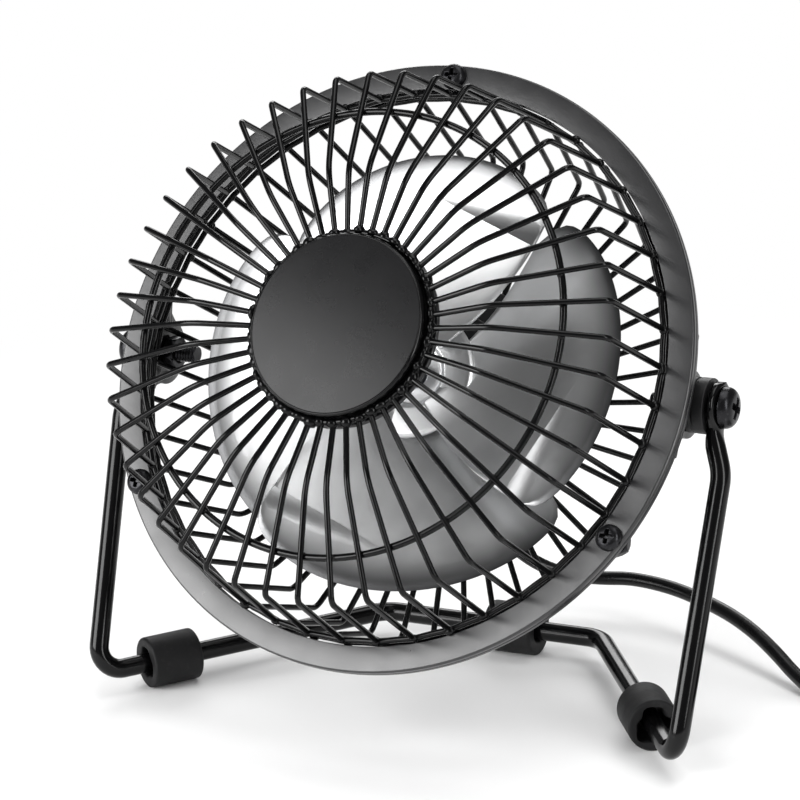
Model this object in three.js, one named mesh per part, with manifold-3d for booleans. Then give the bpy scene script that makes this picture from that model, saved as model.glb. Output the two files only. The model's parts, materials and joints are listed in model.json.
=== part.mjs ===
// Small desk fan: a wire-guarded metal head that tilts on a bent-wire stand, with a USB lead.
// Millimetres, +Z up, the fan looks towards -Y. The origin is on the desk, under the middle of the fan.
import * as THREE from "three";
import { mergeVertices } from "three/addons/utils/BufferGeometryUtils.js";
import Module from "manifold-3d";

// ---- Driving dimensions -------------------------------------------------------------------------

const GAP = 0.3; // clearance between neighbouring pieces
const OVERSHOOT = 1; // how far a cutting tool runs past a face
const TILT = THREE.MathUtils.degToRad(30.75); // the head leans back this far as stored

// Guard rings: two pressed pans, back to back. Distances "ahead" and "behind" are along the fan's own
// axis, from the front face of the front pan.
const ring = {
  outerRadius: 68,
  width: 5.7,
  sheet: 0.8,
  lip: 1.35,
  pairDepth: 3.1,
  segments: 48,
  aheadOfPivot: 11.7,
};
ring.innerRadius = ring.outerRadius - ring.width;

// M3 screws that hold the two pans together, and their nuts.
const ringScrew = { count: 3, firstAngle: 90, headRadius: 2.9, headHeight: 1.9, radius: 1.5, length: 6.2 };
ringScrew.circle = ring.outerRadius - 2.8;
ringScrew.hole = ringScrew.radius + 0.35;
const ringNut = { flats: 5.5, thickness: 2.3 };

// Wire guards. The spokes run from the rim wire, round a shoulder, to the hub.
const guard = {
  wires: 46,
  sides: 3, // a wire's section
  wireRadius: 0.65,
  ringRadius: 0.8,
  hubRadius: 20.6,
  hubAhead: 28.6,
  bendRadius: 34.7,
  bendAhead: 30.2,
  bend: 12,
  shoulderAhead: 23.6,
  shoulderBend: 2.2,
  middleRadius: 48.6,
  middleBelowSpokes: 0.96, // the middle hoop is welded behind the spokes
};
guard.edgeRadius = ring.innerRadius - 1; // where the wires are welded to the rim wire
guard.shoulderRadius = guard.edgeRadius - 3.3;
const middleShare = (guard.middleRadius - guard.bendRadius) / (guard.shoulderRadius - guard.bendRadius);
const spokeAhead = THREE.MathUtils.lerp(guard.bendAhead, guard.shoulderAhead, middleShare);
guard.middleAhead = spokeAhead - guard.middleBelowSpokes;

const cap = {
  faceRadius: 18.7,
  faceAhead: 31.4,
  rimRadius: 19.9,
  edge: 1.2,
  easing: 0.4,
  wall: 1.2,
  skirtRadius: 18.9,
  skirtDepth: 2.2,
};
const hubPlate = { radius: 21.3, thickness: 1.0, ahead: 26.4 };
const rivet = { radius: 2, headRadius: 3.4, headThickness: 0.9 };

// Pivot brackets behind the pans, spacers, M4 screws and nuts.
const bracket = {
  fromMiddle: ring.outerRadius - 5, // inner face
  thickness: 1.2,
  baseHalfHeight: 13.5,
  baseDepth: 5.5,
  corner: 4,
  waist: 1, // from the base to where the tongue starts
  tongueHalfHeight: 7.4,
  footWidth: 3.2,
};
const spacer = { radius: 6 };
const pivotScrew = { radius: 2, headRadius: 4.5, headHeight: 2.7, tipFromMiddle: bracket.fromMiddle - 7.5 };
const pivotNut = { flats: 7, thickness: 2.5 };

// Bent-wire stand. Its wire lies at the height of the feet's centres, and it clears the rings.
const eye = { radius: 5.4, thickness: 2.2, fromMiddle: ring.outerRadius + 2.5, tabWidth: 5, tabLength: 10 };
eye.bore = pivotScrew.radius + 0.35;
const stand = {
  wireRadius: 2.1,
  pivotAboveWire: 69.0, // height of the tilt axis above the base wire
  frontHalfWidth: ring.outerRadius + 2.7, // front corners of the base, from the middle
  frontAhead: 27.8, // front corners, ahead of the tilt axis
  rearHalfWidth: 27.5,
  depth: 60.3, // front corners to the rear crossbar
  legHalfWidthAtPivot: eye.fromMiddle + 3.1, // where the straight of a leg would meet the tilt axis' height
  shoulderBelowPivot: 13, // the leg is straight from here down
  cornerBend: 5,
  rearBend: 7,
  shoulderBend: 12,
};
const foot = {
  radius: 5.85,
  length: 12,
  edge: 0.8,
  sides: 16,
  leftAlongRail: 18.3,
  rightAlongRail: 25.2,
  rearFromMiddle: 6,
};

// Impeller: four pressed blades on a disc, on a brass hub.
const impeller = {
  blades: 4,
  firstAngle: -5,
  behind: 9.5, // middle plane
  sheet: 0.8,
  bladeSheet: 0.96,
  discRadius: 14,
  bladeOverlap: 3, // how far a blade reaches in over the disc
  tipRadius: 49,
  halfAngle: 47,
  rootWidth: 0.9, // the chord's share of the half-angle at the root
  sweep: 0.25, // radians, root to tip
  petal: 0.12, // how much the tip's corners draw in
  rootDepth: 8,
  tipDepth: 13,
  camber: 2.2,
};
const hub = { noseRadius: 3, flangeRadius: 6.5, flangeThickness: 1.2, ahead: -5.5, behind: 15.5 };
const shaft = { radius: 1, ahead: -7, behind: 43.2 };

// Motor, its housing in the middle of the rear guard, and the cover behind it.
const motor = {
  radius: 12,
  wall: 1,
  front: 24.5,
  rear: 40.5,
  bossRadius: 4,
  bossLength: 2.4,
  bushRadius: 3,
  bushLength: 3.4,
  bushStandsOut: 0.8,
  magnetThickness: 1.6,
  magnetHalfAngle: 1,
  armatureRadius: 8.4,
  armatureInset: 3.2,
  armatureEdge: 0.8,
  commutatorRadius: 3,
  commutatorLength: 2.4,
  endCapThickness: 1.8,
};
const motorScrew = { fromAxis: 7.5, radius: 1, headRadius: 1.9, headHeight: 1.1, pastWall: 1.2 };
const cover = { radius: 26, wall: 1.7, front: 33.9, rear: 45.5, edge: 3 };
const housing = {
  frontBehind: 22.6,
  wall: 1.5,
  crownRadius: 18,
  brimRadius: cover.radius,
  brimFront: 29.9,
  brimRear: 31.3,
};
const coverScrew = { count: 3, firstAngle: 30, radius: 1.2, headRadius: 2.3, headHeight: 1.5 };
coverScrew.circle = cover.radius - 5;
coverScrew.hole = coverScrew.radius + 0.35;

// The rear guard's hub hoop is held between the housing's brim and the cover.
const rearGuard = {
  shoulderRadius: guard.edgeRadius - 5.7,
  shoulderBehind: 28.2,
  hubRadius: cover.radius - 1.8,
  hubBehind: 32.5,
};

// Rocker switch in the cover, above the axis.
const rocker = {
  above: 17.6,
  halfLength: 5.3,
  halfWidth: 3.2,
  tipHeight: 2.6,
  middleHeight: 2.1,
  tipDepth: 0.3,
  keelDepth: 1.8,
  keelHalfWidth: 1.2,
  throwAngle: THREE.MathUtils.degToRad(8),
  pivotBehind: 44,
};
const switchBody = {
  bezelHalfLength: 7.3,
  bezelHalfWidth: 4.9,
  bezelThickness: 1.1,
  halfLength: 6.6,
  halfWidth: 4.1,
  depth: 8,
  cavityHalfLength: 5.95,
  cavityHalfWidth: 3.5,
  cavityDepth: 5.6,
};

// USB lead. The gland is in the cover, below the axis.
const cord = { radius: 1.65, sides: 8 };
const gland = {
  right: -6.5,
  below: 16,
  neckRadius: 2.9,
  neckLength: 4,
  flangeRadius: 4.2,
  flangeThickness: 1.3,
  tipRadius: 2.45,
  taper: 9,
};
const coil = { x: 126.5, y: 25.2, innerRadius: 11, outerRadius: 24.6, bottom: 0.8, top: 7.6, edge: 1 };
const tie = { width: 5, thickness: 0.5, angle: THREE.MathUtils.degToRad(-35) };
const plug = {
  tipX: 92,
  y: 60.5,
  bodyLength: 22,
  bodyWidth: 15,
  bodyHeight: 7.6,
  corner: 1.6,
  reliefLength: 8,
  reliefRadius: 2.9,
};
const usbShell = { length: 12, width: 12, height: 4.5, wall: 0.4 };
const usbTongue = { inset: 0.6, halfWidth: 5.2, aboveMiddle: 0.1 };

// ---- Materials ----------------------------------------------------------------------------------

function finish(color, roughness, metalness) {
  return new THREE.MeshStandardMaterial({ color, roughness, metalness });
}
const blackPaint = finish(0x101011, 0.32, 0.1);
const blackWire = finish(0x0c0c0d, 0.28, 0.1);
const blackRubber = finish(0x17181a, 0.75, 0);
const blackPlastic = finish(0x141416, 0.45, 0);
const darkSteel = finish(0x1c1c1e, 0.35, 0.6);
const steel = finish(0xb9bcc0, 0.3, 1);
const aluminium = finish(0xc4c6c8, 0.25, 1);
const brass = finish(0xb08d4a, 0.35, 1);
const magnetGrey = finish(0x3a3a3d, 0.7, 0.1);
const copper = finish(0xa0613a, 0.4, 0.9);

// ---- Solids -------------------------------------------------------------------------------------

const wasm = await Module();
wasm.setup();

// A closed geometry as a manifold solid.
function solid(geometry) {
  const bare = geometry.clone();
  bare.deleteAttribute("normal");
  bare.deleteAttribute("uv");
  const merged = mergeVertices(bare, 1e-3);
  return new wasm.Manifold(
    new wasm.Mesh({
      numProp: 3,
      vertProperties: new Float32Array(merged.attributes.position.array),
      triVerts: new Uint32Array(merged.index.array),
    }),
  );
}

// A manifold solid as a geometry.
function geometryOf(made) {
  const mesh = made.getMesh();
  const geometry = new THREE.BufferGeometry();
  geometry.setAttribute("position", new THREE.BufferAttribute(new Float32Array(mesh.vertProperties), 3));
  geometry.setIndex(new THREE.BufferAttribute(new Uint32Array(mesh.triVerts), 1));
  geometry.computeVertexNormals();
  return geometry;
}

// The first geometry joined with the others.
function joined(first, ...others) {
  return geometryOf(others.reduce((sum, other) => sum.add(solid(other)), solid(first)));
}

// The first geometry with the others cut out of it.
function cut(first, ...others) {
  return geometryOf(others.reduce((rest, other) => rest.subtract(solid(other)), solid(first)));
}

function signedArea(profile) {
  return profile.reduce((sum, [x, y], i) => {
    const [nextX, nextY] = profile[(i + 1) % profile.length];
    return sum + (x * nextY - nextX * y) / 2;
  }, 0);
}

// A turned piece about Y from [radius, y] points that start and end on the axis, or close on themselves.
function turned(profile, segments = 24) {
  const outward = signedArea(profile) < 0 ? [...profile].reverse() : [...profile];
  if (outward[0][0] > 0) outward.push(outward[0]);
  return new THREE.LatheGeometry(outward.map(([radius, y]) => new THREE.Vector2(radius, y)), segments);
}

// A plain round bar about Y, from one place on the axis to another, with an optional bore.
function bar(radius, from, to, { bore = 0, segments = 24 } = {}) {
  return turned([[bore, from], [radius, from], [radius, to], [bore, to]], segments);
}

// A route through given points, with its sections mitred at each of them.
class Route extends THREE.Curve {
  constructor(points) {
    super();
    this.points = points;
  }
  getPoint(t) {
    const last = this.points.length - 1;
    const i = Math.min(Math.floor(t * last + 1e-6), last - 1);
    return this.points[i].clone().lerp(this.points[i + 1], t * last - i);
  }
  getPointAt(u) {
    return this.getPoint(u);
  }
  getTangentAt(u) {
    const last = this.points.length - 1;
    const i = Math.round(u * last);
    const here = this.points[i];
    const incoming = here.clone().sub(this.points[Math.max(i - 1, 0)]).normalize();
    const outgoing = this.points[Math.min(i + 1, last)].clone().sub(here).normalize();
    return incoming.add(outgoing).normalize();
  }
}

function polygon(radius, sides) {
  const corners = Array.from({ length: sides }, (_, i) => {
    const angle = ((i + 0.5) / sides) * 2 * Math.PI;
    return new THREE.Vector2(radius * Math.cos(angle), radius * Math.sin(angle));
  });
  return new THREE.Shape(corners);
}

// A round wire through the points.
function wire(points, radius, sides) {
  const extrudePath = new Route(points);
  const options = { steps: points.length - 1, extrudePath, bevelEnabled: false };
  return new THREE.ExtrudeGeometry(polygon(radius, sides), options);
}

// The points of a bent bar: each inner corner becomes an arc of its bend radius.
function bent(corners, bends, arcSteps) {
  const points = [corners[0]];
  for (let i = 1; i < corners.length - 1; i += 1) {
    const corner = corners[i];
    const back = corners[i - 1].clone().sub(corner).normalize();
    const on = corners[i + 1].clone().sub(corner).normalize();
    const half = back.angleTo(on) / 2;
    const start = corner.clone().addScaledVector(back, bends[i - 1] / Math.tan(half));
    const middle = back.clone().add(on).normalize();
    const centre = corner.clone().addScaledVector(middle, bends[i - 1] / Math.sin(half));
    const spoke = start.clone().sub(centre);
    const axis = back.clone().cross(on).normalize();
    for (let step = 0; step <= arcSteps; step += 1) {
      const angle = -((Math.PI - 2 * half) * step) / arcSteps;
      points.push(spoke.clone().applyAxisAngle(axis, angle).add(centre));
    }
  }
  points.push(corners[corners.length - 1]);
  return points;
}

// A ring of round wire about Y.
function wireRing(radius, wireRadius, y, segments) {
  const torus = new THREE.TorusGeometry(radius, wireRadius, guard.sides, segments);
  return torus.rotateX(Math.PI / 2).translate(0, y, 0);
}

// A hexagonal nut about Y.
function hexNut(flats, bore, from, to) {
  const outline = polygon(flats / Math.sqrt(3), 6);
  outline.holes.push(new THREE.Path().absarc(0, 0, bore, 0, 2 * Math.PI, true));
  const options = { depth: to - from, bevelEnabled: false, curveSegments: 10 };
  const geometry = new THREE.ExtrudeGeometry(outline, options);
  return geometry.rotateX(-Math.PI / 2).translate(0, from, 0);
}

// An extrusion turned so that its outline's x runs along Y, its y up, and its depth along X.
function alongX(geometry) {
  const axes = [new THREE.Vector3(0, 1, 0), new THREE.Vector3(0, 0, 1), new THREE.Vector3(1, 0, 0)];
  return geometry.applyMatrix4(new THREE.Matrix4().makeBasis(...axes));
}

function block(x0, x1, y0, y1, z0, z1) {
  const box = new THREE.BoxGeometry(x1 - x0, y1 - y0, z1 - z0);
  return box.translate((x0 + x1) / 2, (y0 + y1) / 2, (z0 + z1) / 2);
}

// A pan-head screw about Y, its head's seat at `seat` and its tip at `tip`.
function panScrew(radius, headRadius, headHeight, seat, tip, segments = 16) {
  const away = Math.sign(seat - tip);
  return turned(
    [
      [0, tip],
      [radius, tip],
      [radius, seat],
      [headRadius, seat],
      [headRadius, seat + away * headHeight * 0.35],
      [headRadius * 0.72, seat + away * headHeight * 0.85],
      [0, seat + away * headHeight],
    ],
    segments,
  );
}

function onCircle(angle, radius, y) {
  return new THREE.Vector3(radius * Math.cos(angle), y, radius * Math.sin(angle));
}

const spread = (count, firstAngle) =>
  Array.from({ length: count }, (_, i) => THREE.MathUtils.degToRad(firstAngle + (i * 360) / count));

// ---- Assembly groups ----------------------------------------------------------------------------

const fan = new THREE.Group();
const pivotHeight = foot.radius + stand.pivotAboveWire;
const head = new THREE.Group();
head.position.set(0, 0, pivotHeight);
head.rotation.x = -TILT;
const axial = new THREE.Group(); // +Y runs backwards along the fan's axis from the front pan's face
axial.position.set(0, -ring.aheadOfPivot, 0);
head.add(axial);
fan.add(head);

function place(parent, name, geometry, material) {
  const mesh = new THREE.Mesh(geometry, material);
  mesh.name = name;
  parent.add(mesh);
  return mesh;
}

// ---- Stand --------------------------------------------------------------------------------------

function standFrame() {
  const base = foot.radius;
  const legTop = new THREE.Vector3(stand.legHalfWidthAtPivot, 0, pivotHeight);
  const frontCorner = new THREE.Vector3(stand.frontHalfWidth, -stand.frontAhead, base);
  const legShare = stand.shoulderBelowPivot / stand.pivotAboveWire;
  const shoulder = legTop.clone().lerp(frontCorner, legShare);
  const lean = Math.atan2(stand.frontAhead, stand.pivotAboveWire);
  const clearOfSpacer = spacer.radius + 2 * GAP;
  const neckAhead = (shoulder.y * clearOfSpacer) / stand.shoulderBelowPivot;
  const neck = new THREE.Vector3(eye.fromMiddle, neckAhead, pivotHeight - clearOfSpacer);
  const rearY = stand.depth - stand.frontAhead;
  const right = [neck, shoulder, frontCorner, new THREE.Vector3(stand.rearHalfWidth, rearY, base)];
  const left = right.map((p) => new THREE.Vector3(-p.x, p.y, p.z)).reverse();
  const oneSide = [stand.shoulderBend, stand.cornerBend, stand.rearBend];
  const bends = [...oneSide, ...[...oneSide].reverse()];
  const rod = wire(bent([...right, ...left], bends, 4), stand.wireRadius, 8);
  const eyes = [1, -1].map((side) => {
    const half = eye.thickness / 2;
    const disc = bar(eye.radius, -half, half, { segments: 20 }).rotateZ(Math.PI / 2);
    const tab = block(-half, half, -eye.tabWidth / 2, eye.tabWidth / 2, -eye.tabLength, 0).rotateX(-lean);
    return joined(disc, tab).translate(side * eye.fromMiddle, 0, pivotHeight);
  });
  const reach = eye.fromMiddle + eye.thickness;
  const bore = bar(eye.bore, -reach, reach, { segments: 16 }).rotateZ(Math.PI / 2);
  return cut(joined(rod, ...eyes), bore.translate(0, 0, pivotHeight));
}
place(fan, "stand_frame", standFrame(), blackPaint);

// A rubber foot: a thick sleeve on the wire, about Y, with a flat facet downwards.
function footSleeve() {
  const outer = foot.radius / Math.cos(Math.PI / foot.sides);
  const { edge } = foot;
  const bore = stand.wireRadius + GAP;
  const half = foot.length / 2;
  const profile = [
    [bore, -half], [outer - edge, -half], [outer, edge - half],
    [outer, half - edge], [outer - edge, half], [bore, half],
  ];
  return turned(profile, foot.sides).rotateY(Math.PI / foot.sides);
}

function placeFeet() {
  const rail = new THREE.Vector3(stand.rearHalfWidth - stand.frontHalfWidth, stand.depth, 0).normalize();
  const sides = [["foot_front_right", 1, foot.rightAlongRail], ["foot_front_left", -1, foot.leftAlongRail]];
  for (const [name, side, along] of sides) {
    const sleeve = place(fan, name, footSleeve(), blackRubber);
    const fromMiddle = stand.frontHalfWidth + rail.x * along;
    sleeve.position.set(side * fromMiddle, rail.y * along - stand.frontAhead, foot.radius);
    sleeve.rotation.z = side * Math.atan2(-rail.x, rail.y);
  }
  const rear = place(fan, "foot_rear", footSleeve(), blackRubber);
  rear.position.set(foot.rearFromMiddle, stand.depth - stand.frontAhead, foot.radius);
  rear.rotation.z = Math.PI / 2;
}
placeFeet();

// ---- Guard rings and their fasteners --------------------------------------------------------------

// A pan's sheet and outer lip. `face` is the outside of the sheet and `inward` points to the other pan.
function pan(face, inward) {
  const sheet = face + inward * ring.sheet;
  const lip = face + inward * ring.lip;
  const profile = [
    [ring.innerRadius, face], [ring.outerRadius, face], [ring.outerRadius, lip],
    [ring.outerRadius - ring.sheet, lip], [ring.outerRadius - ring.sheet, sheet], [ring.innerRadius, sheet],
  ];
  const holes = ringScrewAngles.map((angle) => {
    const at = onCircle(angle, ringScrew.circle, 0);
    const hole = bar(ringScrew.hole, -OVERSHOOT, ring.pairDepth + OVERSHOOT, { segments: 10 });
    return hole.translate(at.x, 0, at.z);
  });
  return cut(turned(profile, ring.segments), ...holes);
}
const ringScrewAngles = spread(ringScrew.count, ringScrew.firstAngle);
place(axial, "front_ring", pan(0, 1), blackPaint);
place(axial, "rear_ring", pan(ring.pairDepth, -1), blackPaint);

ringScrewAngles.forEach((angle, i) => {
  const at = onCircle(angle, ringScrew.circle, 0);
  const { radius, headRadius, headHeight, length } = ringScrew;
  const screw = panScrew(radius, headRadius, headHeight, -GAP, length, 12);
  place(axial, `ring_screw_${i + 1}`, screw.translate(at.x, 0, at.z), darkSteel);
  const seat = ring.pairDepth + GAP;
  const nut = hexNut(ringNut.flats, radius + GAP, seat, seat + ringNut.thickness);
  place(axial, `ring_nut_${i + 1}`, nut.translate(at.x, 0, at.z), darkSteel);
});

// ---- Wire guards ----------------------------------------------------------------------------------

// Spokes through [radius, y] stations, welded to rings of wire at [radius, y, wire radius].
function spokeCage(stations, bends, rings) {
  const spokes = spread(guard.wires, 90).map((angle) => {
    const corners = stations.map(([radius, y]) => onCircle(angle, radius, y));
    return wire(bent(corners, bends, 1), guard.wireRadius, guard.sides);
  });
  const hoops = rings.map(([radius, y, wireRadius]) => wireRing(radius, wireRadius, y, guard.wires));
  return joined(...hoops.slice(0, 1), ...spokes, ...hoops.slice(1));
}

const frontCage = spokeCage(
  [
    [guard.hubRadius, -guard.hubAhead],
    [guard.bendRadius, -guard.bendAhead],
    [guard.shoulderRadius, -guard.shoulderAhead],
    [guard.edgeRadius, GAP],
  ],
  [guard.bend, guard.shoulderBend],
  [
    [guard.hubRadius, -guard.hubAhead, guard.ringRadius],
    [guard.middleRadius, -guard.middleAhead, guard.ringRadius],
    [guard.edgeRadius, GAP, guard.wireRadius],
  ],
);
place(axial, "front_guard", frontCage, blackWire);

const rearCage = spokeCage(
  [
    [guard.edgeRadius, ring.pairDepth - GAP],
    [rearGuard.shoulderRadius, rearGuard.shoulderBehind],
    [rearGuard.hubRadius, rearGuard.hubBehind],
  ],
  [guard.shoulderBend],
  [
    [guard.edgeRadius, ring.pairDepth - GAP, guard.wireRadius],
    [rearGuard.hubRadius, rearGuard.hubBehind, guard.ringRadius],
  ],
);
place(axial, "rear_guard", rearCage, blackWire);

// The round cap over the spokes' inner ends, the plate behind them and the rivet through both.
function frontCap() {
  const face = -cap.faceAhead;
  const back = -(guard.hubAhead + guard.ringRadius + GAP);
  const skirt = back + cap.skirtDepth;
  const inner = cap.skirtRadius - cap.wall;
  return turned(
    [
      [0, face], [cap.faceRadius, face], [cap.rimRadius - cap.easing, face + cap.easing],
      [cap.rimRadius, face + cap.edge], [cap.rimRadius, back], [cap.skirtRadius, back],
      [cap.skirtRadius, skirt], [inner, skirt], [inner, face + cap.wall], [0, face + cap.wall],
    ],
    32,
  );
}
place(axial, "front_cap", frontCap(), blackPaint);
const plateBack = -hubPlate.ahead + hubPlate.thickness;
const plate = bar(hubPlate.radius, -hubPlate.ahead, plateBack, { bore: rivet.radius + GAP, segments: 32 });
place(axial, "hub_plate", plate, blackPaint);
const rivetSeat = plateBack + GAP;
const rivetEnd = rivetSeat + rivet.headThickness;
const rivetStart = -cap.faceAhead + cap.wall + GAP;
const rivetProfile = [
  [0, rivetStart], [rivet.radius, rivetStart], [rivet.radius, rivetSeat],
  [rivet.headRadius, rivetSeat], [rivet.headRadius * 0.7, rivetEnd], [0, rivetEnd],
];
place(axial, "cap_rivet", turned(rivetProfile, 12), steel);

// ---- Tilt pivots ------------------------------------------------------------------------------------

// A bracket on the right, behind the rear pan: a foot against the pan and a tongue with the pivot hole.
function pivotBracket() {
  const front = ring.pairDepth + GAP;
  const rear = front + bracket.baseDepth;
  const { baseHalfHeight: base, tongueHalfHeight: tongue, corner, waist } = bracket;
  const outline = new THREE.Shape();
  outline.moveTo(front, -base);
  outline.lineTo(rear - corner, -base);
  outline.absarc(rear - corner, -base + corner, corner, -Math.PI / 2, 0, false);
  outline.lineTo(rear + waist, -tongue);
  outline.absarc(ring.aheadOfPivot, 0, tongue, -Math.PI / 2, Math.PI / 2, false);
  outline.lineTo(rear + waist, tongue);
  outline.absarc(rear - corner, base - corner, corner, 0, Math.PI / 2, false);
  outline.lineTo(front, base);
  outline.holes.push(new THREE.Path().absarc(ring.aheadOfPivot, 0, eye.bore, 0, 2 * Math.PI, true));
  const options = { depth: bracket.thickness, bevelEnabled: false, curveSegments: 8 };
  const sheet = alongX(new THREE.ExtrudeGeometry(outline, options)).translate(bracket.fromMiddle, 0, 0);
  const outer = bracket.fromMiddle + bracket.footWidth;
  const weldFoot = block(bracket.fromMiddle, outer, front, front + bracket.thickness, -base, base);
  return joined(sheet, weldFoot);
}

// A turned piece on the tilt axis, from a profile of [radius, distance from the middle].
function onPivot(parent, name, profile, side, material, segments = 16) {
  const geometry = turned(profile, segments).rotateZ(-Math.PI / 2);
  const mesh = place(parent, name, geometry, material);
  if (side < 0) mesh.rotation.z = Math.PI;
  return mesh;
}

function placePivots() {
  const plateOuter = bracket.fromMiddle + bracket.thickness;
  const eyeInner = eye.fromMiddle - eye.thickness / 2;
  const screwSeat = eye.fromMiddle + eye.thickness / 2 + GAP;
  for (const [word, side] of [["right", 1], ["left", -1]]) {
    place(axial, `pivot_bracket_${word}`, pivotBracket(), blackPaint).rotation.y = side > 0 ? 0 : Math.PI;
    const bore = eye.bore;
    const from = plateOuter + GAP;
    const to = eyeInner - GAP;
    const sleeve = [[bore, from], [spacer.radius, from], [spacer.radius, to], [bore, to]];
    onPivot(head, `pivot_spacer_${word}`, sleeve, side, blackPlastic, 20);
    const { radius, headRadius, headHeight, tipFromMiddle } = pivotScrew;
    const outwards = side > 0 ? -Math.PI / 2 : Math.PI / 2;
    const screw = panScrew(radius, headRadius, headHeight, screwSeat, tipFromMiddle);
    place(head, `pivot_screw_${word}`, screw, darkSteel).rotation.z = outwards;
    const nutTop = bracket.fromMiddle - GAP;
    const nut = hexNut(pivotNut.flats, radius + GAP, nutTop - pivotNut.thickness, nutTop);
    place(head, `pivot_nut_${word}`, nut, darkSteel).rotation.z = outwards;
  }
}
placePivots();

// ---- Impeller ---------------------------------------------------------------------------------------

// One pressed blade: a box bent so that u runs outwards, v along the chord and w through the sheet.
function blade(firstAngle) {
  const box = new THREE.BoxGeometry(1, 2, 1, 5, 5, 1);
  const corners = box.attributes.position;
  const { tipRadius, petal, rootWidth, sweep, rootDepth, tipDepth, behind, camber, bladeSheet } = impeller;
  const root = impeller.discRadius - impeller.bladeOverlap;
  const half = THREE.MathUtils.degToRad(impeller.halfAngle);
  for (let i = 0; i < corners.count; i += 1) {
    const u = corners.getX(i) + 0.5;
    const v = corners.getY(i);
    const w = corners.getZ(i);
    const tip = tipRadius * (1 - petal * v ** 4);
    const radius = root + u * (tip - root);
    const chord = rootWidth + (1 - rootWidth) * Math.sin(u * Math.PI * 0.75);
    const angle = firstAngle + half * v * chord + sweep * u;
    const depth = rootDepth + u * (tipDepth - rootDepth);
    const back = behind + (v * depth) / 2 - camber * (1 - v * v) * u - w * bladeSheet;
    corners.setXYZ(i, radius * Math.cos(angle), back, radius * Math.sin(angle));
  }
  return box;
}

function impellerSheet() {
  const { behind, sheet, discRadius } = impeller;
  const disc = bar(discRadius, behind - sheet / 2, behind + sheet / 2, { segments: 32 });
  const blades = spread(impeller.blades, impeller.firstAngle).map(blade);
  const bore = bar(hub.noseRadius + GAP, behind - sheet, behind + sheet, { segments: 16 });
  return cut(joined(disc, ...blades), bore);
}
place(axial, "impeller", impellerSheet(), aluminium);

function hubTurning() {
  const seat = impeller.behind + impeller.sheet / 2 + GAP;
  const bore = shaft.radius + GAP;
  const blind = -shaft.ahead - GAP;
  return turned(
    [
      [0, -hub.ahead], [hub.noseRadius, -hub.ahead], [hub.noseRadius, seat], [hub.flangeRadius, seat],
      [hub.flangeRadius, seat + hub.flangeThickness], [hub.noseRadius, seat + hub.flangeThickness],
      [hub.noseRadius, hub.behind], [bore, hub.behind], [bore, blind], [0, blind],
    ],
    20,
  );
}
place(axial, "blade_hub", hubTurning(), brass);
place(axial, "motor_shaft", bar(shaft.radius, -shaft.ahead, shaft.behind, { segments: 12 }), steel);

// ---- Motor ------------------------------------------------------------------------------------------

const shaftHole = shaft.radius + GAP;
const bushHole = motor.bushRadius + GAP;
const canProfile = [
  [bushHole, motor.front - motor.bossLength], [motor.bossRadius, motor.front - motor.bossLength],
  [motor.bossRadius, motor.front], [motor.radius, motor.front], [motor.radius, motor.rear],
  [motor.radius - motor.wall, motor.rear], [motor.radius - motor.wall, motor.front + motor.wall],
  [bushHole, motor.front + motor.wall],
];
const motorScrewHoles = [1, -1].map((side) =>
  bar(motorScrew.radius + GAP, 0, motor.front + motor.wall + OVERSHOOT, { segments: 8 })
    .translate(side * motorScrew.fromAxis, 0, 0),
);
place(axial, "motor_can", cut(turned(canProfile, 28), ...motorScrewHoles), steel);

const frontBushStart = motor.front - motor.bossLength;
const frontBushEnd = frontBushStart + motor.bushLength;
const bushShape = { bore: shaftHole, segments: 12 };
place(axial, "bush_front", bar(motor.bushRadius, frontBushStart, frontBushEnd, bushShape), brass);
const endCapFront = motor.rear - motor.endCapThickness;
const endCapRadius = motor.radius - motor.wall - GAP;
const endCap = bar(endCapRadius, endCapFront, motor.rear, { bore: bushHole, segments: 24 });
place(axial, "motor_end_cap", endCap, blackPlastic);
const rearBushEnd = motor.rear + motor.bushStandsOut;
place(axial, "bush_rear", bar(motor.bushRadius, endCapFront, rearBushEnd, bushShape), brass);

const armatureFront = motor.front + motor.wall + motor.armatureInset;
const armatureEnd = endCapFront - 1;
const armatureRear = armatureEnd - motor.commutatorLength;
const armatureProfile = [
  [shaftHole, armatureFront], [motor.armatureRadius, armatureFront + motor.armatureEdge],
  [motor.armatureRadius, armatureRear - motor.armatureEdge], [motor.commutatorRadius, armatureRear],
  [motor.commutatorRadius, armatureEnd], [shaftHole, armatureEnd],
];
place(axial, "armature", turned(armatureProfile, 20), copper);

// A magnet: a quarter-turn-and-a-bit of a ring inside the can.
function magnet(turn) {
  const outer = motor.radius - motor.wall - GAP;
  const inner = outer - motor.magnetThickness;
  const half = motor.magnetHalfAngle;
  const shape = new THREE.Shape();
  shape.absarc(0, 0, outer, -half, half, false).absarc(0, 0, inner, half, -half, true);
  const depth = armatureRear - armatureFront;
  const geometry = new THREE.ExtrudeGeometry(shape, { depth, bevelEnabled: false, curveSegments: 8 });
  return geometry.rotateX(-Math.PI / 2).rotateY(turn).translate(0, armatureFront, 0);
}
place(axial, "magnet_right", magnet(0), magnetGrey);
place(axial, "magnet_left", magnet(Math.PI), magnetGrey);

// ---- Motor housing and rear cover -------------------------------------------------------------------

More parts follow.
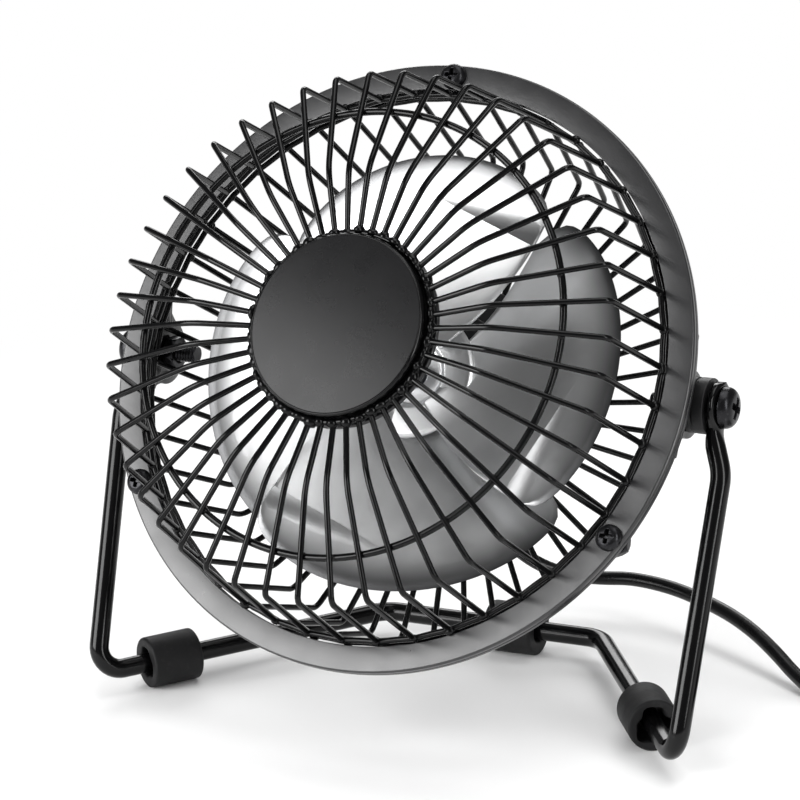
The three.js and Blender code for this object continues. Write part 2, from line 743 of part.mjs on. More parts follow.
const coverScrewAngles = spread(coverScrew.count, coverScrew.firstAngle);
const coverScrewHoles = coverScrewAngles.map((angle) => {
  const at = onCircle(angle, coverScrew.circle, 0);
  const [from, to] = [housing.frontBehind, cover.rear + OVERSHOOT];
  return bar(coverScrew.hole, from, to, { segments: 10 }).translate(at.x, 0, at.z);
});
const crownInner = housing.crownRadius - housing.wall;
const housingProfile = [
  [motor.bossRadius + GAP, housing.frontBehind], [housing.crownRadius, housing.frontBehind],
  [housing.crownRadius, housing.brimFront], [housing.brimRadius, housing.brimFront],
  [housing.brimRadius, housing.brimRear], [crownInner, housing.brimRear],
  [crownInner, housing.frontBehind + housing.wall],
  [motor.bossRadius + GAP, housing.frontBehind + housing.wall],
];
const shroud = cut(turned(housingProfile, 28), ...coverScrewHoles, ...motorScrewHoles);
place(axial, "motor_housing", shroud, blackPlastic);

[1, -1].forEach((side, i) => {
  const tip = motor.front + motor.wall + motorScrew.pastWall;
  const { radius, headRadius, headHeight } = motorScrew;
  const screw = panScrew(radius, headRadius, headHeight, housing.frontBehind - GAP, tip, 10);
  place(axial, `motor_screw_${i + 1}`, screw.translate(side * motorScrew.fromAxis, 0, 0), steel);
});

// The cover: a cup that opens forwards, with a cut-out for the switch and holes for the gland and screws.
function rearCover() {
  const { radius, wall, front, rear, edge } = cover;
  const cup = turned(
    [
      [0, rear], [radius - edge, rear], [radius - edge * 0.3, rear - edge * 0.3], [radius, rear - edge],
      [radius, front], [radius - wall, front], [radius - wall, rear - edge], [radius - edge, rear - wall],
      [0, rear - wall],
    ],
    28,
  );
  const { halfLength, halfWidth } = switchBody;
  const cutOut = block(
    -halfLength - GAP, halfLength + GAP, rear - wall - OVERSHOOT, rear + OVERSHOOT,
    rocker.above - halfWidth - GAP, rocker.above + halfWidth + GAP,
  );
  const glandHole = bar(gland.neckRadius + GAP, rear - wall - OVERSHOOT, rear + OVERSHOOT, { segments: 16 })
    .translate(gland.right, 0, -gland.below);
  return cut(cup, cutOut, glandHole, ...coverScrewHoles);
}
place(axial, "rear_cover", rearCover(), blackPlastic);

coverScrewAngles.forEach((angle, i) => {
  const at = onCircle(angle, coverScrew.circle, 0);
  const { radius, headRadius, headHeight } = coverScrew;
  const screw = panScrew(radius, headRadius, headHeight, cover.rear + GAP, housing.brimFront + GAP, 10);
  place(axial, `cover_screw_${i + 1}`, screw.translate(at.x, 0, at.z), darkSteel);
});

// ---- Rocker switch ----------------------------------------------------------------------------------

function switchShell() {
  const s = switchBody;
  const seat = cover.rear + GAP;
  const outer = seat + s.bezelThickness;
  const bezel = block(
    -s.bezelHalfLength, s.bezelHalfLength, seat, outer, -s.bezelHalfWidth, s.bezelHalfWidth,
  );
  const barrel = block(-s.halfLength, s.halfLength, seat - s.depth, seat + 0.2, -s.halfWidth, s.halfWidth);
  const cavity = block(
    -s.cavityHalfLength, s.cavityHalfLength, outer - s.cavityDepth, outer + OVERSHOOT,
    -s.cavityHalfWidth, s.cavityHalfWidth,
  );
  return cut(joined(bezel, barrel), cavity).translate(0, 0, rocker.above);
}
place(axial, "switch_body", switchShell(), blackPlastic);

function rockerKey() {
  const { halfLength, halfWidth, tipHeight, middleHeight, tipDepth, keelDepth, keelHalfWidth } = rocker;
  const outline = [
    [-halfLength, tipHeight], [-halfLength, -tipDepth], [-keelHalfWidth, -keelDepth],
    [keelHalfWidth, -keelDepth], [halfLength, -tipDepth], [halfLength, tipHeight], [0, middleHeight],
  ];
  const shape = new THREE.Shape(outline.map(([x, y]) => new THREE.Vector2(x, y)));
  const geometry = new THREE.ExtrudeGeometry(shape, { depth: 2 * halfWidth, bevelEnabled: false });
  return geometry.translate(0, 0, -halfWidth);
}
const key = place(axial, "rocker", rockerKey(), blackPlastic);
key.position.set(0, rocker.pivotBehind, rocker.above);
key.rotation.z = rocker.throwAngle;

// ---- USB lead ---------------------------------------------------------------------------------------

const glandEnd = cover.rear + gland.flangeThickness + gland.taper;
function strainRelief() {
  const bore = cord.radius + GAP;
  const seat = cover.rear + GAP;
  const inside = cover.rear - gland.neckLength;
  return turned(
    [
      [bore, inside], [gland.neckRadius, inside], [gland.neckRadius, seat], [gland.flangeRadius, seat],
      [gland.flangeRadius, seat + gland.flangeThickness], [gland.tipRadius, glandEnd], [bore, glandEnd],
    ],
    16,
  ).translate(gland.right, 0, -gland.below);
}
place(axial, "strain_relief", strainRelief(), blackRubber);

// The lead's free stretch, by hand: out of the gland, down behind the stand and round to its right.
const point = (x, y, z) => new THREE.Vector3(x, y, z);
const glandTip = point(gland.right, glandEnd + GAP - ring.aheadOfPivot, -gland.below)
  .applyAxisAngle(new THREE.Vector3(1, 0, 0), -TILT)
  .add(point(0, 0, pivotHeight));
const leadRoute = [
  glandTip,
  point(-6.3, 36.6, 34.3),
  point(-5.4, 42.2, 29),
  point(-3.2, 46, 23.4),
  point(0.3, 48.6, 18.3),
  point(4.8, 51.4, 14.4),
  point(10.6, 54.2, 12),
  point(17.1, 55.8, 11.5),
  point(25, 56.3, 12),
  point(35, 54.5, 11.9),
  point(44.4, 51.2, 11.1),
  point(54, 46.5, 9.9),
  point(61.6, 42, 8.1),
  point(68.1, 37.5, 5.9),
  point(74, 33.2, 3.5),
  point(79.6, 29.2, 2),
  point(86.2, 24.8, 1.7),
  point(94, 19.6, 1.7),
  point(102.4, 14, 1.7),
];
const tailRoute = [
  point(149.4, 39, 3.4),
  point(149.1, 46, 2.1),
  point(147.4, 52, 2),
  point(144.3, 57, 2.7),
  point(140, 59.9, 3.4),
  point(134.3, 60.5, 3.8),
];
const smooth = (points, steps) => new THREE.CatmullRomCurve3(points, false, "centripetal").getPoints(steps);
place(fan, "lead", wire(smooth(leadRoute, 26), cord.radius, cord.sides), blackRubber);
place(fan, "lead_tail", wire(smooth(tailRoute, 8), cord.radius, cord.sides), blackRubber);

function coilRing() {
  const { innerRadius, outerRadius, bottom, top, edge } = coil;
  const profile = [
    [innerRadius, bottom + edge], [innerRadius + edge, bottom], [outerRadius - edge, bottom],
    [outerRadius, bottom + edge], [outerRadius, top - edge], [outerRadius - edge, top],
    [innerRadius + edge, top], [innerRadius, top - edge],
  ];
  return turned(profile).rotateX(Math.PI / 2).translate(coil.x, coil.y, 0);
}
place(fan, "lead_coil", coilRing(), blackRubber);

// The tie: a flat band round the coil's turns.
function coilTie() {
  const middle = (coil.innerRadius + coil.outerRadius) / 2;
  const sagitta = coil.innerRadius - Math.sqrt(coil.innerRadius ** 2 - tie.width ** 2 / 4);
  const halfAcross = (coil.outerRadius - coil.innerRadius) / 2 + GAP + 2 * sagitta;
  const [low, high] = [coil.bottom - GAP, coil.top + GAP];
  const inside = block(middle - halfAcross, middle + halfAcross, -tie.width, tie.width, low, high);
  const t = tie.thickness;
  const outside = block(
    middle - halfAcross - t, middle + halfAcross + t, -tie.width / 2, tie.width / 2, low - t, high + t,
  );
  return cut(outside, inside).rotateZ(tie.angle).translate(coil.x, coil.y, 0);
}
place(fan, "lead_tie", coilTie(), blackPlastic);

// The plug lies flat behind the coil, its shell towards -X.
function plugBody() {
  const { tipX, bodyLength, bodyWidth, bodyHeight, corner, reliefLength, reliefRadius } = plug;
  const front = tipX + usbShell.length;
  const shape = new THREE.Shape();
  const [w, h] = [bodyWidth / 2, bodyHeight / 2];
  shape.moveTo(-w + corner, -h);
  shape.absarc(w - corner, -h + corner, corner, -Math.PI / 2, 0, false);
  shape.absarc(w - corner, h - corner, corner, 0, Math.PI / 2, false);
  shape.absarc(-w + corner, h - corner, corner, Math.PI / 2, Math.PI, false);
  shape.absarc(-w + corner, -h + corner, corner, Math.PI, 1.5 * Math.PI, false);
  const options = { depth: bodyLength, bevelEnabled: false, curveSegments: 3 };
  const grip = alongX(new THREE.ExtrudeGeometry(shape, options)).translate(front, 0, 0);
  const end = front + bodyLength;
  const relief = bar(reliefRadius, -end - reliefLength, OVERSHOOT - end, { segments: 12 });
  return joined(grip, relief.rotateZ(Math.PI / 2)).translate(0, plug.y, h);
}
place(fan, "usb_plug", plugBody(), blackPlastic);

function shellSleeve() {
  const { length, width, height, wall } = usbShell;
  const start = plug.tipX;
  const end = start + length - GAP;
  const [w, h] = [width / 2, height / 2];
  const outer = block(start, end, -w, w, -h, h);
  const inner = block(start - OVERSHOOT, end - 1, wall - w, w - wall, wall - h, h - wall);
  return cut(outer, inner).translate(0, plug.y, plug.bodyHeight / 2);
}
place(fan, "usb_shell", shellSleeve(), steel);
const tongueRear = plug.tipX + usbShell.length - 1 - 2 * GAP;
const tongueTop = usbShell.height / 2 - usbShell.wall - GAP;
const { inset, halfWidth, aboveMiddle } = usbTongue;
const tongue = block(plug.tipX + inset, tongueRear, -halfWidth, halfWidth, aboveMiddle, tongueTop);
place(fan, "usb_tongue", tongue.translate(0, plug.y, plug.bodyHeight / 2), blackPlastic);

// ---- Place the fan over its origin ------------------------------------------------------------------

const leadNames = ["lead", "lead_tail", "lead_coil", "lead_tie", "usb_plug", "usb_shell", "usb_tongue"];
fan.updateMatrixWorld(true);
const extent = new THREE.Box3();
fan.traverse((piece) => {
  if (piece.isMesh && !leadNames.includes(piece.name)) extent.expandByObject(piece, true);
});
const middle = extent.getCenter(new THREE.Vector3());
fan.position.set(-middle.x, -middle.y, 0);

export default fan;
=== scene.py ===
"""A small desk fan: a wire-guarded metal head that tilts on a bent-wire stand, with a coiled USB lead.

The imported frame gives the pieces' places, and this script adds their fine surfaces and finishes.
Sizes in the classes are in millimetres, in the row's axes or in the head's own: there X runs to the
right, Y backwards along the fan's axis from the front pan's face, and Z up the face.
"""

import json
import logging
from dataclasses import dataclass
from enum import Enum
from typing import Callable

import bpy
import numpy as np
from mathutils import Matrix, Vector


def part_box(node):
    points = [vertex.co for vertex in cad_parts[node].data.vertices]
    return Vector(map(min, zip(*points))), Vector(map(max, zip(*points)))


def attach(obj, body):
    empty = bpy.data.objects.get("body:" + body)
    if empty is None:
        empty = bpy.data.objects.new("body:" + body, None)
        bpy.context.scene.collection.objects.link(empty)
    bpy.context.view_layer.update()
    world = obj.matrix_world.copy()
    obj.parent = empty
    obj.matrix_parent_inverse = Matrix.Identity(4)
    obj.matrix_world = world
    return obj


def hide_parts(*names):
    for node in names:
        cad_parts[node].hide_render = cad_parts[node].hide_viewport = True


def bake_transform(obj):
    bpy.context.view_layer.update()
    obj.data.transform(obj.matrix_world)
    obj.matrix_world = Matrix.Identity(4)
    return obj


MM = 0.001
LOG = logging.getLogger("desk_fan")

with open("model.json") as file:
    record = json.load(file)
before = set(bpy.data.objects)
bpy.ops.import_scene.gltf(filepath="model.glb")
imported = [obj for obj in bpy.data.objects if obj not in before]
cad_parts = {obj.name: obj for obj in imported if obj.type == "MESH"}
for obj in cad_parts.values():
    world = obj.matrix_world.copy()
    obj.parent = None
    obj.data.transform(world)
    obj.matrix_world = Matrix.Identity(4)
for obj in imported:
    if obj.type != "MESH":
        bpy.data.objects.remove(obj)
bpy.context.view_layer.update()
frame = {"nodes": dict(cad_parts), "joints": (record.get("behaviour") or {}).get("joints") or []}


# ---- Frames of reference ---------------------------------------------------------------------------


@dataclass(frozen=True)
class Place:
    """A place in the row frame: an origin, in millimetres, and three axes as the columns of a matrix."""

    origin: np.ndarray
    axes: np.ndarray

    def put(self, points: np.ndarray) -> np.ndarray:
        """Turns local points, in millimetres, into row-frame points in metres."""
        return (points @ self.axes.T + self.origin) * MM

    def moved(self, x: float = 0, y: float = 0, z: float = 0) -> "Place":
        """The same axes, with the origin moved along them."""
        return Place(self.origin + self.axes @ np.array([x, y, z], float), self.axes)

    def turned(self, axes: np.ndarray) -> "Place":
        """The same origin, with the axes given in terms of this place's own."""
        return Place(self.origin, self.axes @ np.array(axes, float))


def joint(name: str) -> dict:
    """The frame's joint of that name."""
    return next(j for j in frame["joints"] if j["name"] == name)


ROW = Place(np.zeros(3), np.eye(3))
PIVOT = np.array(joint("head_tilt")["pos_m"]) / MM
AHEAD = np.array(joint("fan_spin")["axis"], float)
FACE_AHEAD_OF_PIVOT = 11.7
HEAD_AXES = np.stack([[1, 0, 0], -AHEAD, np.cross([1, 0, 0], -AHEAD)], axis=1)
HEAD = Place(PIVOT + AHEAD * FACE_AHEAD_OF_PIVOT, HEAD_AXES)
X_AXIS_IS_Y = np.array([[0, 1, 0], [-1, 0, 0], [0, 0, 1]], float)


# ---- Surfaces --------------------------------------------------------------------------------------


@dataclass
class Shell:
    """A surface in a piece's local millimetres: its points, its four-sided and its three-sided faces."""

    points: np.ndarray
    quads: np.ndarray
    triangles: np.ndarray

    @staticmethod
    def grid(points: np.ndarray, closed_u: bool = False) -> "Shell":
        """A surface over a grid whose second direction goes round.

        Args:
            points: U rows of V points, each row a ring.
            closed_u: whether the last row joins the first. Otherwise a fan to the middle of its ring
                closes each end.

        Returns:
            The surface, with its faces outwards.
        """
        rows, around = points.shape[:2]
        index = np.arange(rows * around).reshape(rows, around)
        upper = np.roll(index, -1, axis=0) if closed_u else index[1:]
        lower = index if closed_u else index[:-1]
        quads = np.stack([lower, np.roll(lower, -1, 1), np.roll(upper, -1, 1), upper], -1).reshape(-1, 4)
        flat = points.reshape(-1, 3)
        triangles = np.zeros((0, 3), int)
        if not closed_u:
            poles = np.stack([points[0].mean(0), points[-1].mean(0)])
            first = np.stack([np.roll(index[0], -1), index[0], np.full(around, len(flat))], -1)
            last = np.stack([index[-1], np.roll(index[-1], -1), np.full(around, len(flat) + 1)], -1)
            flat = np.concatenate([flat, poles])
            triangles = np.concatenate([first, last])
        return Shell(flat, quads, triangles).outward()

    @staticmethod
    def joined(*shells: "Shell") -> "Shell":
        """Several surfaces as one.

        Args:
            shells: the surfaces.

        Returns:
            One surface with all their points and faces.
        """
        starts = np.cumsum([0] + [len(s.points) for s in shells])
        return Shell(
            np.concatenate([s.points for s in shells]),
            np.concatenate([s.quads + n for s, n in zip(shells, starts)]),
            np.concatenate([s.triangles + n for s, n in zip(shells, starts)]),
        )

    def volume(self) -> float:
        """The signed volume: a sixth of the sum of each triangle's triple product.

        Returns:
            The volume in cubic millimetres, negative where the faces point inwards.
        """
        halves = np.concatenate([self.quads[:, [0, 1, 2]], self.quads[:, [0, 2, 3]], self.triangles])
        a, b, c = (self.points[halves[:, i]] for i in range(3))
        return float((a * np.cross(b, c)).sum() / 6)

    def outward(self) -> "Shell":
        """The surface with its faces pointing out.

        Returns:
            This surface, or one with every face turned over.
        """
        if self.volume() >= 0:
            return self
        return Shell(self.points, self.quads[:, ::-1], self.triangles[:, ::-1])

    def mapped(self, move: Callable[[np.ndarray], np.ndarray]) -> "Shell":
        """The surface with its points moved by a function of the whole array."""
        return Shell(move(self.points), self.quads, self.triangles).outward()

    def repeated(self, turns: np.ndarray) -> "Shell":
        """The surface once for each angle, turned about Y by it.

        Args:
            turns: the angles in radians.

        Returns:
            All the copies as one surface.
        """
        copies = (self.points @ about_y(t).T for t in turns)
        return Shell.joined(*(Shell(p, self.quads, self.triangles) for p in copies))

    def piece(self, name: str, place: Place, sharp: float = 40) -> bpy.types.Object:
        """A mesh object of this surface.

        Args:
            name: the object's name.
            place: where the surface's local frame lies.
            sharp: the angle, in degrees, from which an edge is shaded sharp.

        Returns:
            The object, at the origin.
        """
        mesh = bpy.data.meshes.new(name)
        sizes = np.concatenate([np.full(len(self.quads), 4), np.full(len(self.triangles), 3)])
        corners = np.concatenate([self.quads.ravel(), self.triangles.ravel()])
        mesh.vertices.add(len(self.points))
        mesh.vertices.foreach_set("co", place.put(self.points).ravel())
        mesh.loops.add(len(corners))
        mesh.loops.foreach_set("vertex_index", corners)
        mesh.polygons.add(len(sizes))
        mesh.polygons.foreach_set("loop_start", np.cumsum(sizes) - sizes)
        mesh.polygons.foreach_set("loop_total", sizes)
        mesh.polygons.foreach_set("use_smooth", np.ones(len(sizes), bool))
        mesh.update(calc_edges=True)
        mesh.validate()
        mesh.set_sharp_from_angle(angle=np.radians(sharp))
        piece = bpy.data.objects.new(name, mesh)
        bpy.context.scene.collection.objects.link(piece)
        return piece


def about_y(angle: float) -> np.ndarray:
    """The matrix of a turn about Y that takes +X towards +Z."""
    c, s = np.cos(angle), np.sin(angle)
    return np.array([[c, 0, -s], [0, 1, 0], [s, 0, c]])


def round_y(radius: np.ndarray, y: np.ndarray, angle: np.ndarray) -> np.ndarray:
    """Points about the Y axis: radius times cosine, the height, and radius times sine.

    Args:
        radius: distances from the axis, as a column where they change along the first direction.
        y: heights, in the same way.
        angle: angles from +X towards +Z, in radians.

    Returns:
        Rows of points, with an angle's points along the second direction.
    """
    return np.stack([radius * np.cos(angle), y + 0 * angle, radius * np.sin(angle)], -1)


def stacked(levels: list) -> np.ndarray:
    """Flat outlines at their heights.

    Args:
        levels: an outline's (x, z) points and its y, for each.

    Returns:
        One row of points for each outline.
    """
    return np.stack([np.stack([o[:, 0], np.full(len(o), y), o[:, 1]], -1) for o, y in levels])


def distances(line: np.ndarray) -> np.ndarray:
    """Each point's distance along a line from its first: the running sum of the steps' lengths."""
    return np.concatenate([[0], np.cumsum(np.linalg.norm(np.diff(line, axis=0), axis=1))])


def rounded(profile: list, radius: float = 0.3, steps: int = 4) -> np.ndarray:
    """A profile with its inner corners rounded.

    Each corner becomes a quadratic curve between the points one radius along its two sides, or a
    third of a side that is too short for that.

    Args:
        profile: points of two coordinates.
        radius: how far from a corner its curve starts.
        steps: the curve's steps.

    Returns:
        The points of the rounded profile.
    """
    points = np.array(profile, float)
    made = [points[:1]]
    t = np.linspace(0, 1, steps + 1)[:, None]
    for before, corner, after in zip(points[:-2], points[1:-1], points[2:]):
        back, on = before - corner, after - corner
        start = corner + back * min(radius / np.linalg.norm(back), 1 / 3)
        end = corner + on * min(radius / np.linalg.norm(on), 1 / 3)
        made.append((1 - t) ** 2 * start + 2 * t * (1 - t) * corner + t**2 * end)
    made.append(points[-1:])
    return np.concatenate(made)


def turned(profile: list, segments: int = 96, radius: float = 0.3, closed: bool = False) -> Shell:
    """A turned piece about Y: each (radius, y) of the rounded profile goes round a full circle.

    Args:
        profile: points of (radius, y); an open one has its ends near the axis.
        segments: steps round the axis.
        radius: the corners' rounding.
        closed: whether the profile closes on itself.

    Returns:
        The closed surface.
    """
    if closed:
        first, last = np.array(profile[0], float), np.array(profile[-1], float)
        seam = list((first + last) / 2)
        ring = rounded([seam, *profile, seam], radius)[:-1]
    else:
        ring = rounded(profile, radius)
    angle = np.linspace(0, 2 * np.pi, segments, endpoint=False)
    return Shell.grid(round_y(ring[:, :1], ring[:, 1:], angle), closed_u=closed)


def tube(path: np.ndarray, radius: float, sides: int = 12, closed: bool = False) -> Shell:
    """A round bar along a path, by carrying a ring of points along it without twist.

    Args:
        path: the points of the centreline.
        radius: the bar's radius.
        sides: points round the bar.
        closed: whether the path closes on itself.

    Returns:
        The closed surface.
    """
    tangent = np.gradient(path, axis=0)
    if closed:
        tangent = np.roll(path, -1, 0) - np.roll(path, 1, 0)
    tangent /= np.linalg.norm(tangent, axis=1)[:, None]
    seed = np.eye(3)[np.abs(tangent[0]).argmin()]
    side = np.empty_like(path)
    for i, t in enumerate(tangent):
        seed = seed - t * (seed @ t)
        seed /= np.linalg.norm(seed)
        side[i] = seed
    other = np.cross(tangent, side)
    angle = np.linspace(0, 2 * np.pi, sides, endpoint=False)
    across, upward = (radius * np.cos(angle))[:, None], (radius * np.sin(angle))[:, None]
    return Shell.grid(path[:, None] + (side[:, None] * across + other[:, None] * upward), closed_u=closed)


def through(points: list, spacing: float, steps: int = 24) -> np.ndarray:
    """A smooth curve through points, resampled.

    Between two points it is the cubic with the neighbours' centripetal Catmull-Rom tangents.

    Args:
        points: the points that it goes through.
        spacing: about how far apart the result's points are.
        steps: steps between two points before the resampling.

    Returns:
        Evenly spaced points.
    """
    p = np.array(points, float)
    p = np.concatenate([2 * p[:1] - p[1:2], p, 2 * p[-1:] - p[-2:-1]])
    knot = np.concatenate([[0], np.cumsum(np.linalg.norm(np.diff(p, axis=0), axis=1) ** 0.5)])
    made = []
    for i in range(1, len(p) - 2):
        k0, k1, k2, k3 = knot[i - 1 : i + 3]
        t = np.linspace(k1, k2, steps, endpoint=False)[:, None]
        a1 = (k1 - t) / (k1 - k0) * p[i - 1] + (t - k0) / (k1 - k0) * p[i]
        a2 = (k2 - t) / (k2 - k1) * p[i] + (t - k1) / (k2 - k1) * p[i + 1]
        a3 = (k3 - t) / (k3 - k2) * p[i + 1] + (t - k2) / (k3 - k2) * p[i + 2]
        b1 = (k2 - t) / (k2 - k0) * a1 + (t - k0) / (k2 - k0) * a2
        b2 = (k3 - t) / (k3 - k1) * a2 + (t - k1) / (k3 - k1) * a3
        made.append((k2 - t) / (k2 - k1) * b1 + (t - k1) / (k2 - k1) * b2)
    made.append(p[-2:-1])
    line = np.concatenate(made)
    along = distances(line)
    even = np.linspace(0, along[-1], int(np.ceil(along[-1] / spacing)) + 1)
    return np.stack([np.interp(even, along, line[:, k]) for k in range(3)], -1)


def bent(corners: list, bends: list, steps: int = 10, spacing: float = 3.0) -> np.ndarray:
    """The centreline of a bent bar: straight runs joined by arcs of the given radii.

    Args:
        corners: the points where the straight runs would meet, with the two ends.
        bends: the radius at each inner corner.
        steps: points along each arc.
        spacing: about how far apart points are on the straight runs.

    Returns:
        The points of the centreline.
    """
    p = np.array(corners, float)
    line = [p[0]]
    for before, corner, after, radius in zip(p[:-2], p[1:-1], p[2:], bends):
        back = (before - corner) / np.linalg.norm(before - corner)
        on = (after - corner) / np.linalg.norm(after - corner)
        half = np.arccos(np.clip(back @ on, -1, 1)) / 2
        start = corner + back * radius / np.tan(half)
        middle = (back + on) / np.linalg.norm(back + on)
        centre = corner + middle * radius / np.sin(half)
        spoke = start - centre
        sweep = np.linspace(0, np.pi - 2 * half, steps + 1)[:, None]
        line.extend(centre + spoke * np.cos(sweep) - back * radius * np.sin(sweep))
    line.append(p[-1])
    made = []
    for a, b in zip(line[:-1], line[1:]):
        n = max(1, int(np.linalg.norm(b - a) / spacing))
        made.append(a + (b - a) * np.linspace(0, 1, n, endpoint=False)[:, None])
    return np.concatenate([*made, [line[-1]]])


def slab(outline: np.ndarray, low: float, high: float, edge: float = 0.2) -> Shell:
    """A plate about Y with its edges eased: the outline, drawn in by the edge at both faces.

    Args:
        outline: the (x, z) points of a closed outline, star-shaped about its middle.
        low: the first face's y.
        high: the second face's y.
        edge: the size of the easing.

    Returns:
        The closed surface.
    """
    middle = (outline.max(0) + outline.min(0)) / 2
    away = outline - middle
    slight = 0.3 * edge
    drawn_in = middle + away * (1 - edge / np.linalg.norm(away, axis=1))[:, None]
    softened = middle + away * (1 - slight / np.linalg.norm(away, axis=1))[:, None]
    levels = [
        (drawn_in, low), (softened, low + slight), (outline, low + edge),
        (outline, high - edge), (softened, high - slight), (drawn_in, high),
    ]
    return Shell.grid(stacked(levels))


def rounded_box(width: float, height: float, corner: float, steps: int = 6) -> np.ndarray:
    """The outline of a rectangle with round corners, about the origin.

    Args:
        width: its whole size along x.
        height: its whole size along z.
        corner: the corners' radius.
        steps: steps along each corner.

    Returns:
        The (x, z) points, a quarter circle at each corner.
    """
    quarter = np.linspace(0, np.pi / 2, steps + 1)
    centres = [(1, 1, 0), (-1, 1, np.pi / 2), (-1, -1, np.pi), (1, -1, 1.5 * np.pi)]
    arcs = [
        np.stack(
            [
                sx * (width / 2 - corner) + corner * np.cos(quarter + start),
                sz * (height / 2 - corner) + corner * np.sin(quarter + start),
            ],
            -1,
        )
        for sx, sz, start in centres
    ]
    return np.concatenate(arcs)


def smooth_step(x: np.ndarray, low: float, high: float) -> np.ndarray:
    """0 below low, 1 above high, and a smooth S between them."""
    t = np.clip((x - low) / (high - low), 0, 1)
    return t * t * (3 - 2 * t)


def pan_head(radius: float, height: float, cross: float, rows: int = 30, around: int = 96) -> Shell:
    """A pan head with a cross recess, on the plane y = 0 and rising to -Y.

    Its height is a flattened dome, height times (1 - r^4) to the power 0.45, less a recess where
    the point is inside a cross whose arms taper towards their tips.

    Args:
        radius: the head's radius.
        height: the head's height.
        cross: the half-length of the recess's arms.
        rows: rings from the middle to the edge.
        around: points round each ring.

    Returns:
        The closed surface.
    """
    r = np.linspace(0.02, 1, rows)[:, None] ** 0.8
    angle = np.linspace(0, 2 * np.pi, around, endpoint=False) + np.radians(20)
    dome = height * (1 - np.clip(r, 0, 1) ** 4 * 0.999) ** 0.45
    top = round_y(radius * r, -dome, angle)
    x, z = np.abs(top[..., 0]), np.abs(top[..., 2])
    arm, off = np.maximum(x, z), np.minimum(x, z)
    inside = (1 - smooth_step(arm, 0.75 * cross, cross)) * (1 - smooth_step(off, 0.16 * cross, 0.3 * cross))
    rim = top[-1:] * np.array([1, 0, 1])
    top[..., 1] += 0.75 * height * inside
    return Shell.grid(np.concatenate([top, rim]))


def hexagon_nut(flats: float, bore: float, low: float, high: float) -> Shell:
    """A chamfered hexagon nut about Y.

    The outside is the lesser of the hexagon's own radius and a cone's at each end.

    Args:
        flats: the width across the flats.
        bore: the hole's radius.
        low: the first face's y.
        high: the second face's y.

    Returns:
        The closed surface.
    """
    angle = np.linspace(0, 2 * np.pi, 96, endpoint=False)
    within = (angle + np.pi / 6) % (np.pi / 3) - np.pi / 6
    hexagon = flats / 2 / np.cos(within)
    chamfer = 0.4
    y = np.array([low, low, low + 0.35, low + 0.6, high - 0.6, high - 0.35, high, high])
    cone = flats / 2 * np.array([0.98, 0.98, 1.06, 1.16, 1.16, 1.06, 0.98, 0.98])
    radius = np.minimum(hexagon, cone[:, None])
    radius[0], radius[-1] = bore + chamfer, bore + chamfer
    inner = np.full((1, len(angle)), bore)
    radius = np.concatenate([inner, radius, inner])
    y = np.concatenate([[low + chamfer], y, [high - chamfer]])
    return Shell.grid(round_y(radius, y[:, None], angle), closed_u=True)


def threaded(radius: float, low: float, high: float, pitch: float = 0.7) -> Shell:
    """A threaded shank about Y: the radius is a saw of the height less the turn, and fades at the ends.

    Args:
        radius: the thread's outer radius.
        low: the first end's y.
        high: the second end's y.
        pitch: the height of one turn.

    Returns:
        The closed surface.
    """
    rows_per_turn, thread_depth, lead_in = 10, 0.14, 0.6
    y = np.linspace(low, high, int(abs(high - low) / pitch * rows_per_turn))[:, None]
    angle = np.linspace(0, 2 * np.pi, 24, endpoint=False)
    phase = (y / pitch - angle / (2 * np.pi)) % 1
    ends = smooth_step(np.abs(y - low), 0, lead_in) * smooth_step(np.abs(high - y), 0, lead_in)
    core = 1 - thread_depth
    return Shell.grid(round_y(radius * (core + thread_depth * (1 - np.abs(2 * phase - 1)) * ends), y, angle))


# ---- Finishes --------------------------------------------------------------------------------------


def new_group(name: str, inputs: dict, outputs: dict) -> bpy.types.NodeTree:
    """A shader node group with the named sockets.

    Args:
        name: the group's name.
        inputs: socket types by name, with a default value each.
        outputs: socket types by name.

    Returns:
        The group, with its input and output nodes.
    """
    group = bpy.data.node_groups.new(name, "ShaderNodeTree")
    for label, (kind, default) in inputs.items():
        socket = group.interface.new_socket(label, in_out="INPUT", socket_type=kind)
        socket.default_value = default
    for label, kind in outputs.items():
        group.interface.new_socket(label, in_out="OUTPUT", socket_type=kind)
    group.nodes.new("NodeGroupInput")
    group.nodes.new("NodeGroupOutput")
    return group


def axis_distance(group: bpy.types.NodeTree) -> bpy.types.NodeSocket:
    """The distance of the group's vector from the Y axis: the vector's length without its y.

    Args:
        group: a group with an input named Vector.

    Returns:
        The socket that gives the distance.
    """
    flatten = group.nodes.new("ShaderNodeVectorMath")
    flatten.operation = "MULTIPLY"
    flatten.inputs[1].default_value = (1, 0, 1)
    distance = group.nodes.new("ShaderNodeVectorMath")
    distance.operation = "LENGTH"
    group.links.new(group.nodes["Group Input"].outputs["Vector"], flatten.inputs[0])
    group.links.new(flatten.outputs["Vector"], distance.inputs[0])
    return distance.outputs["Value"]


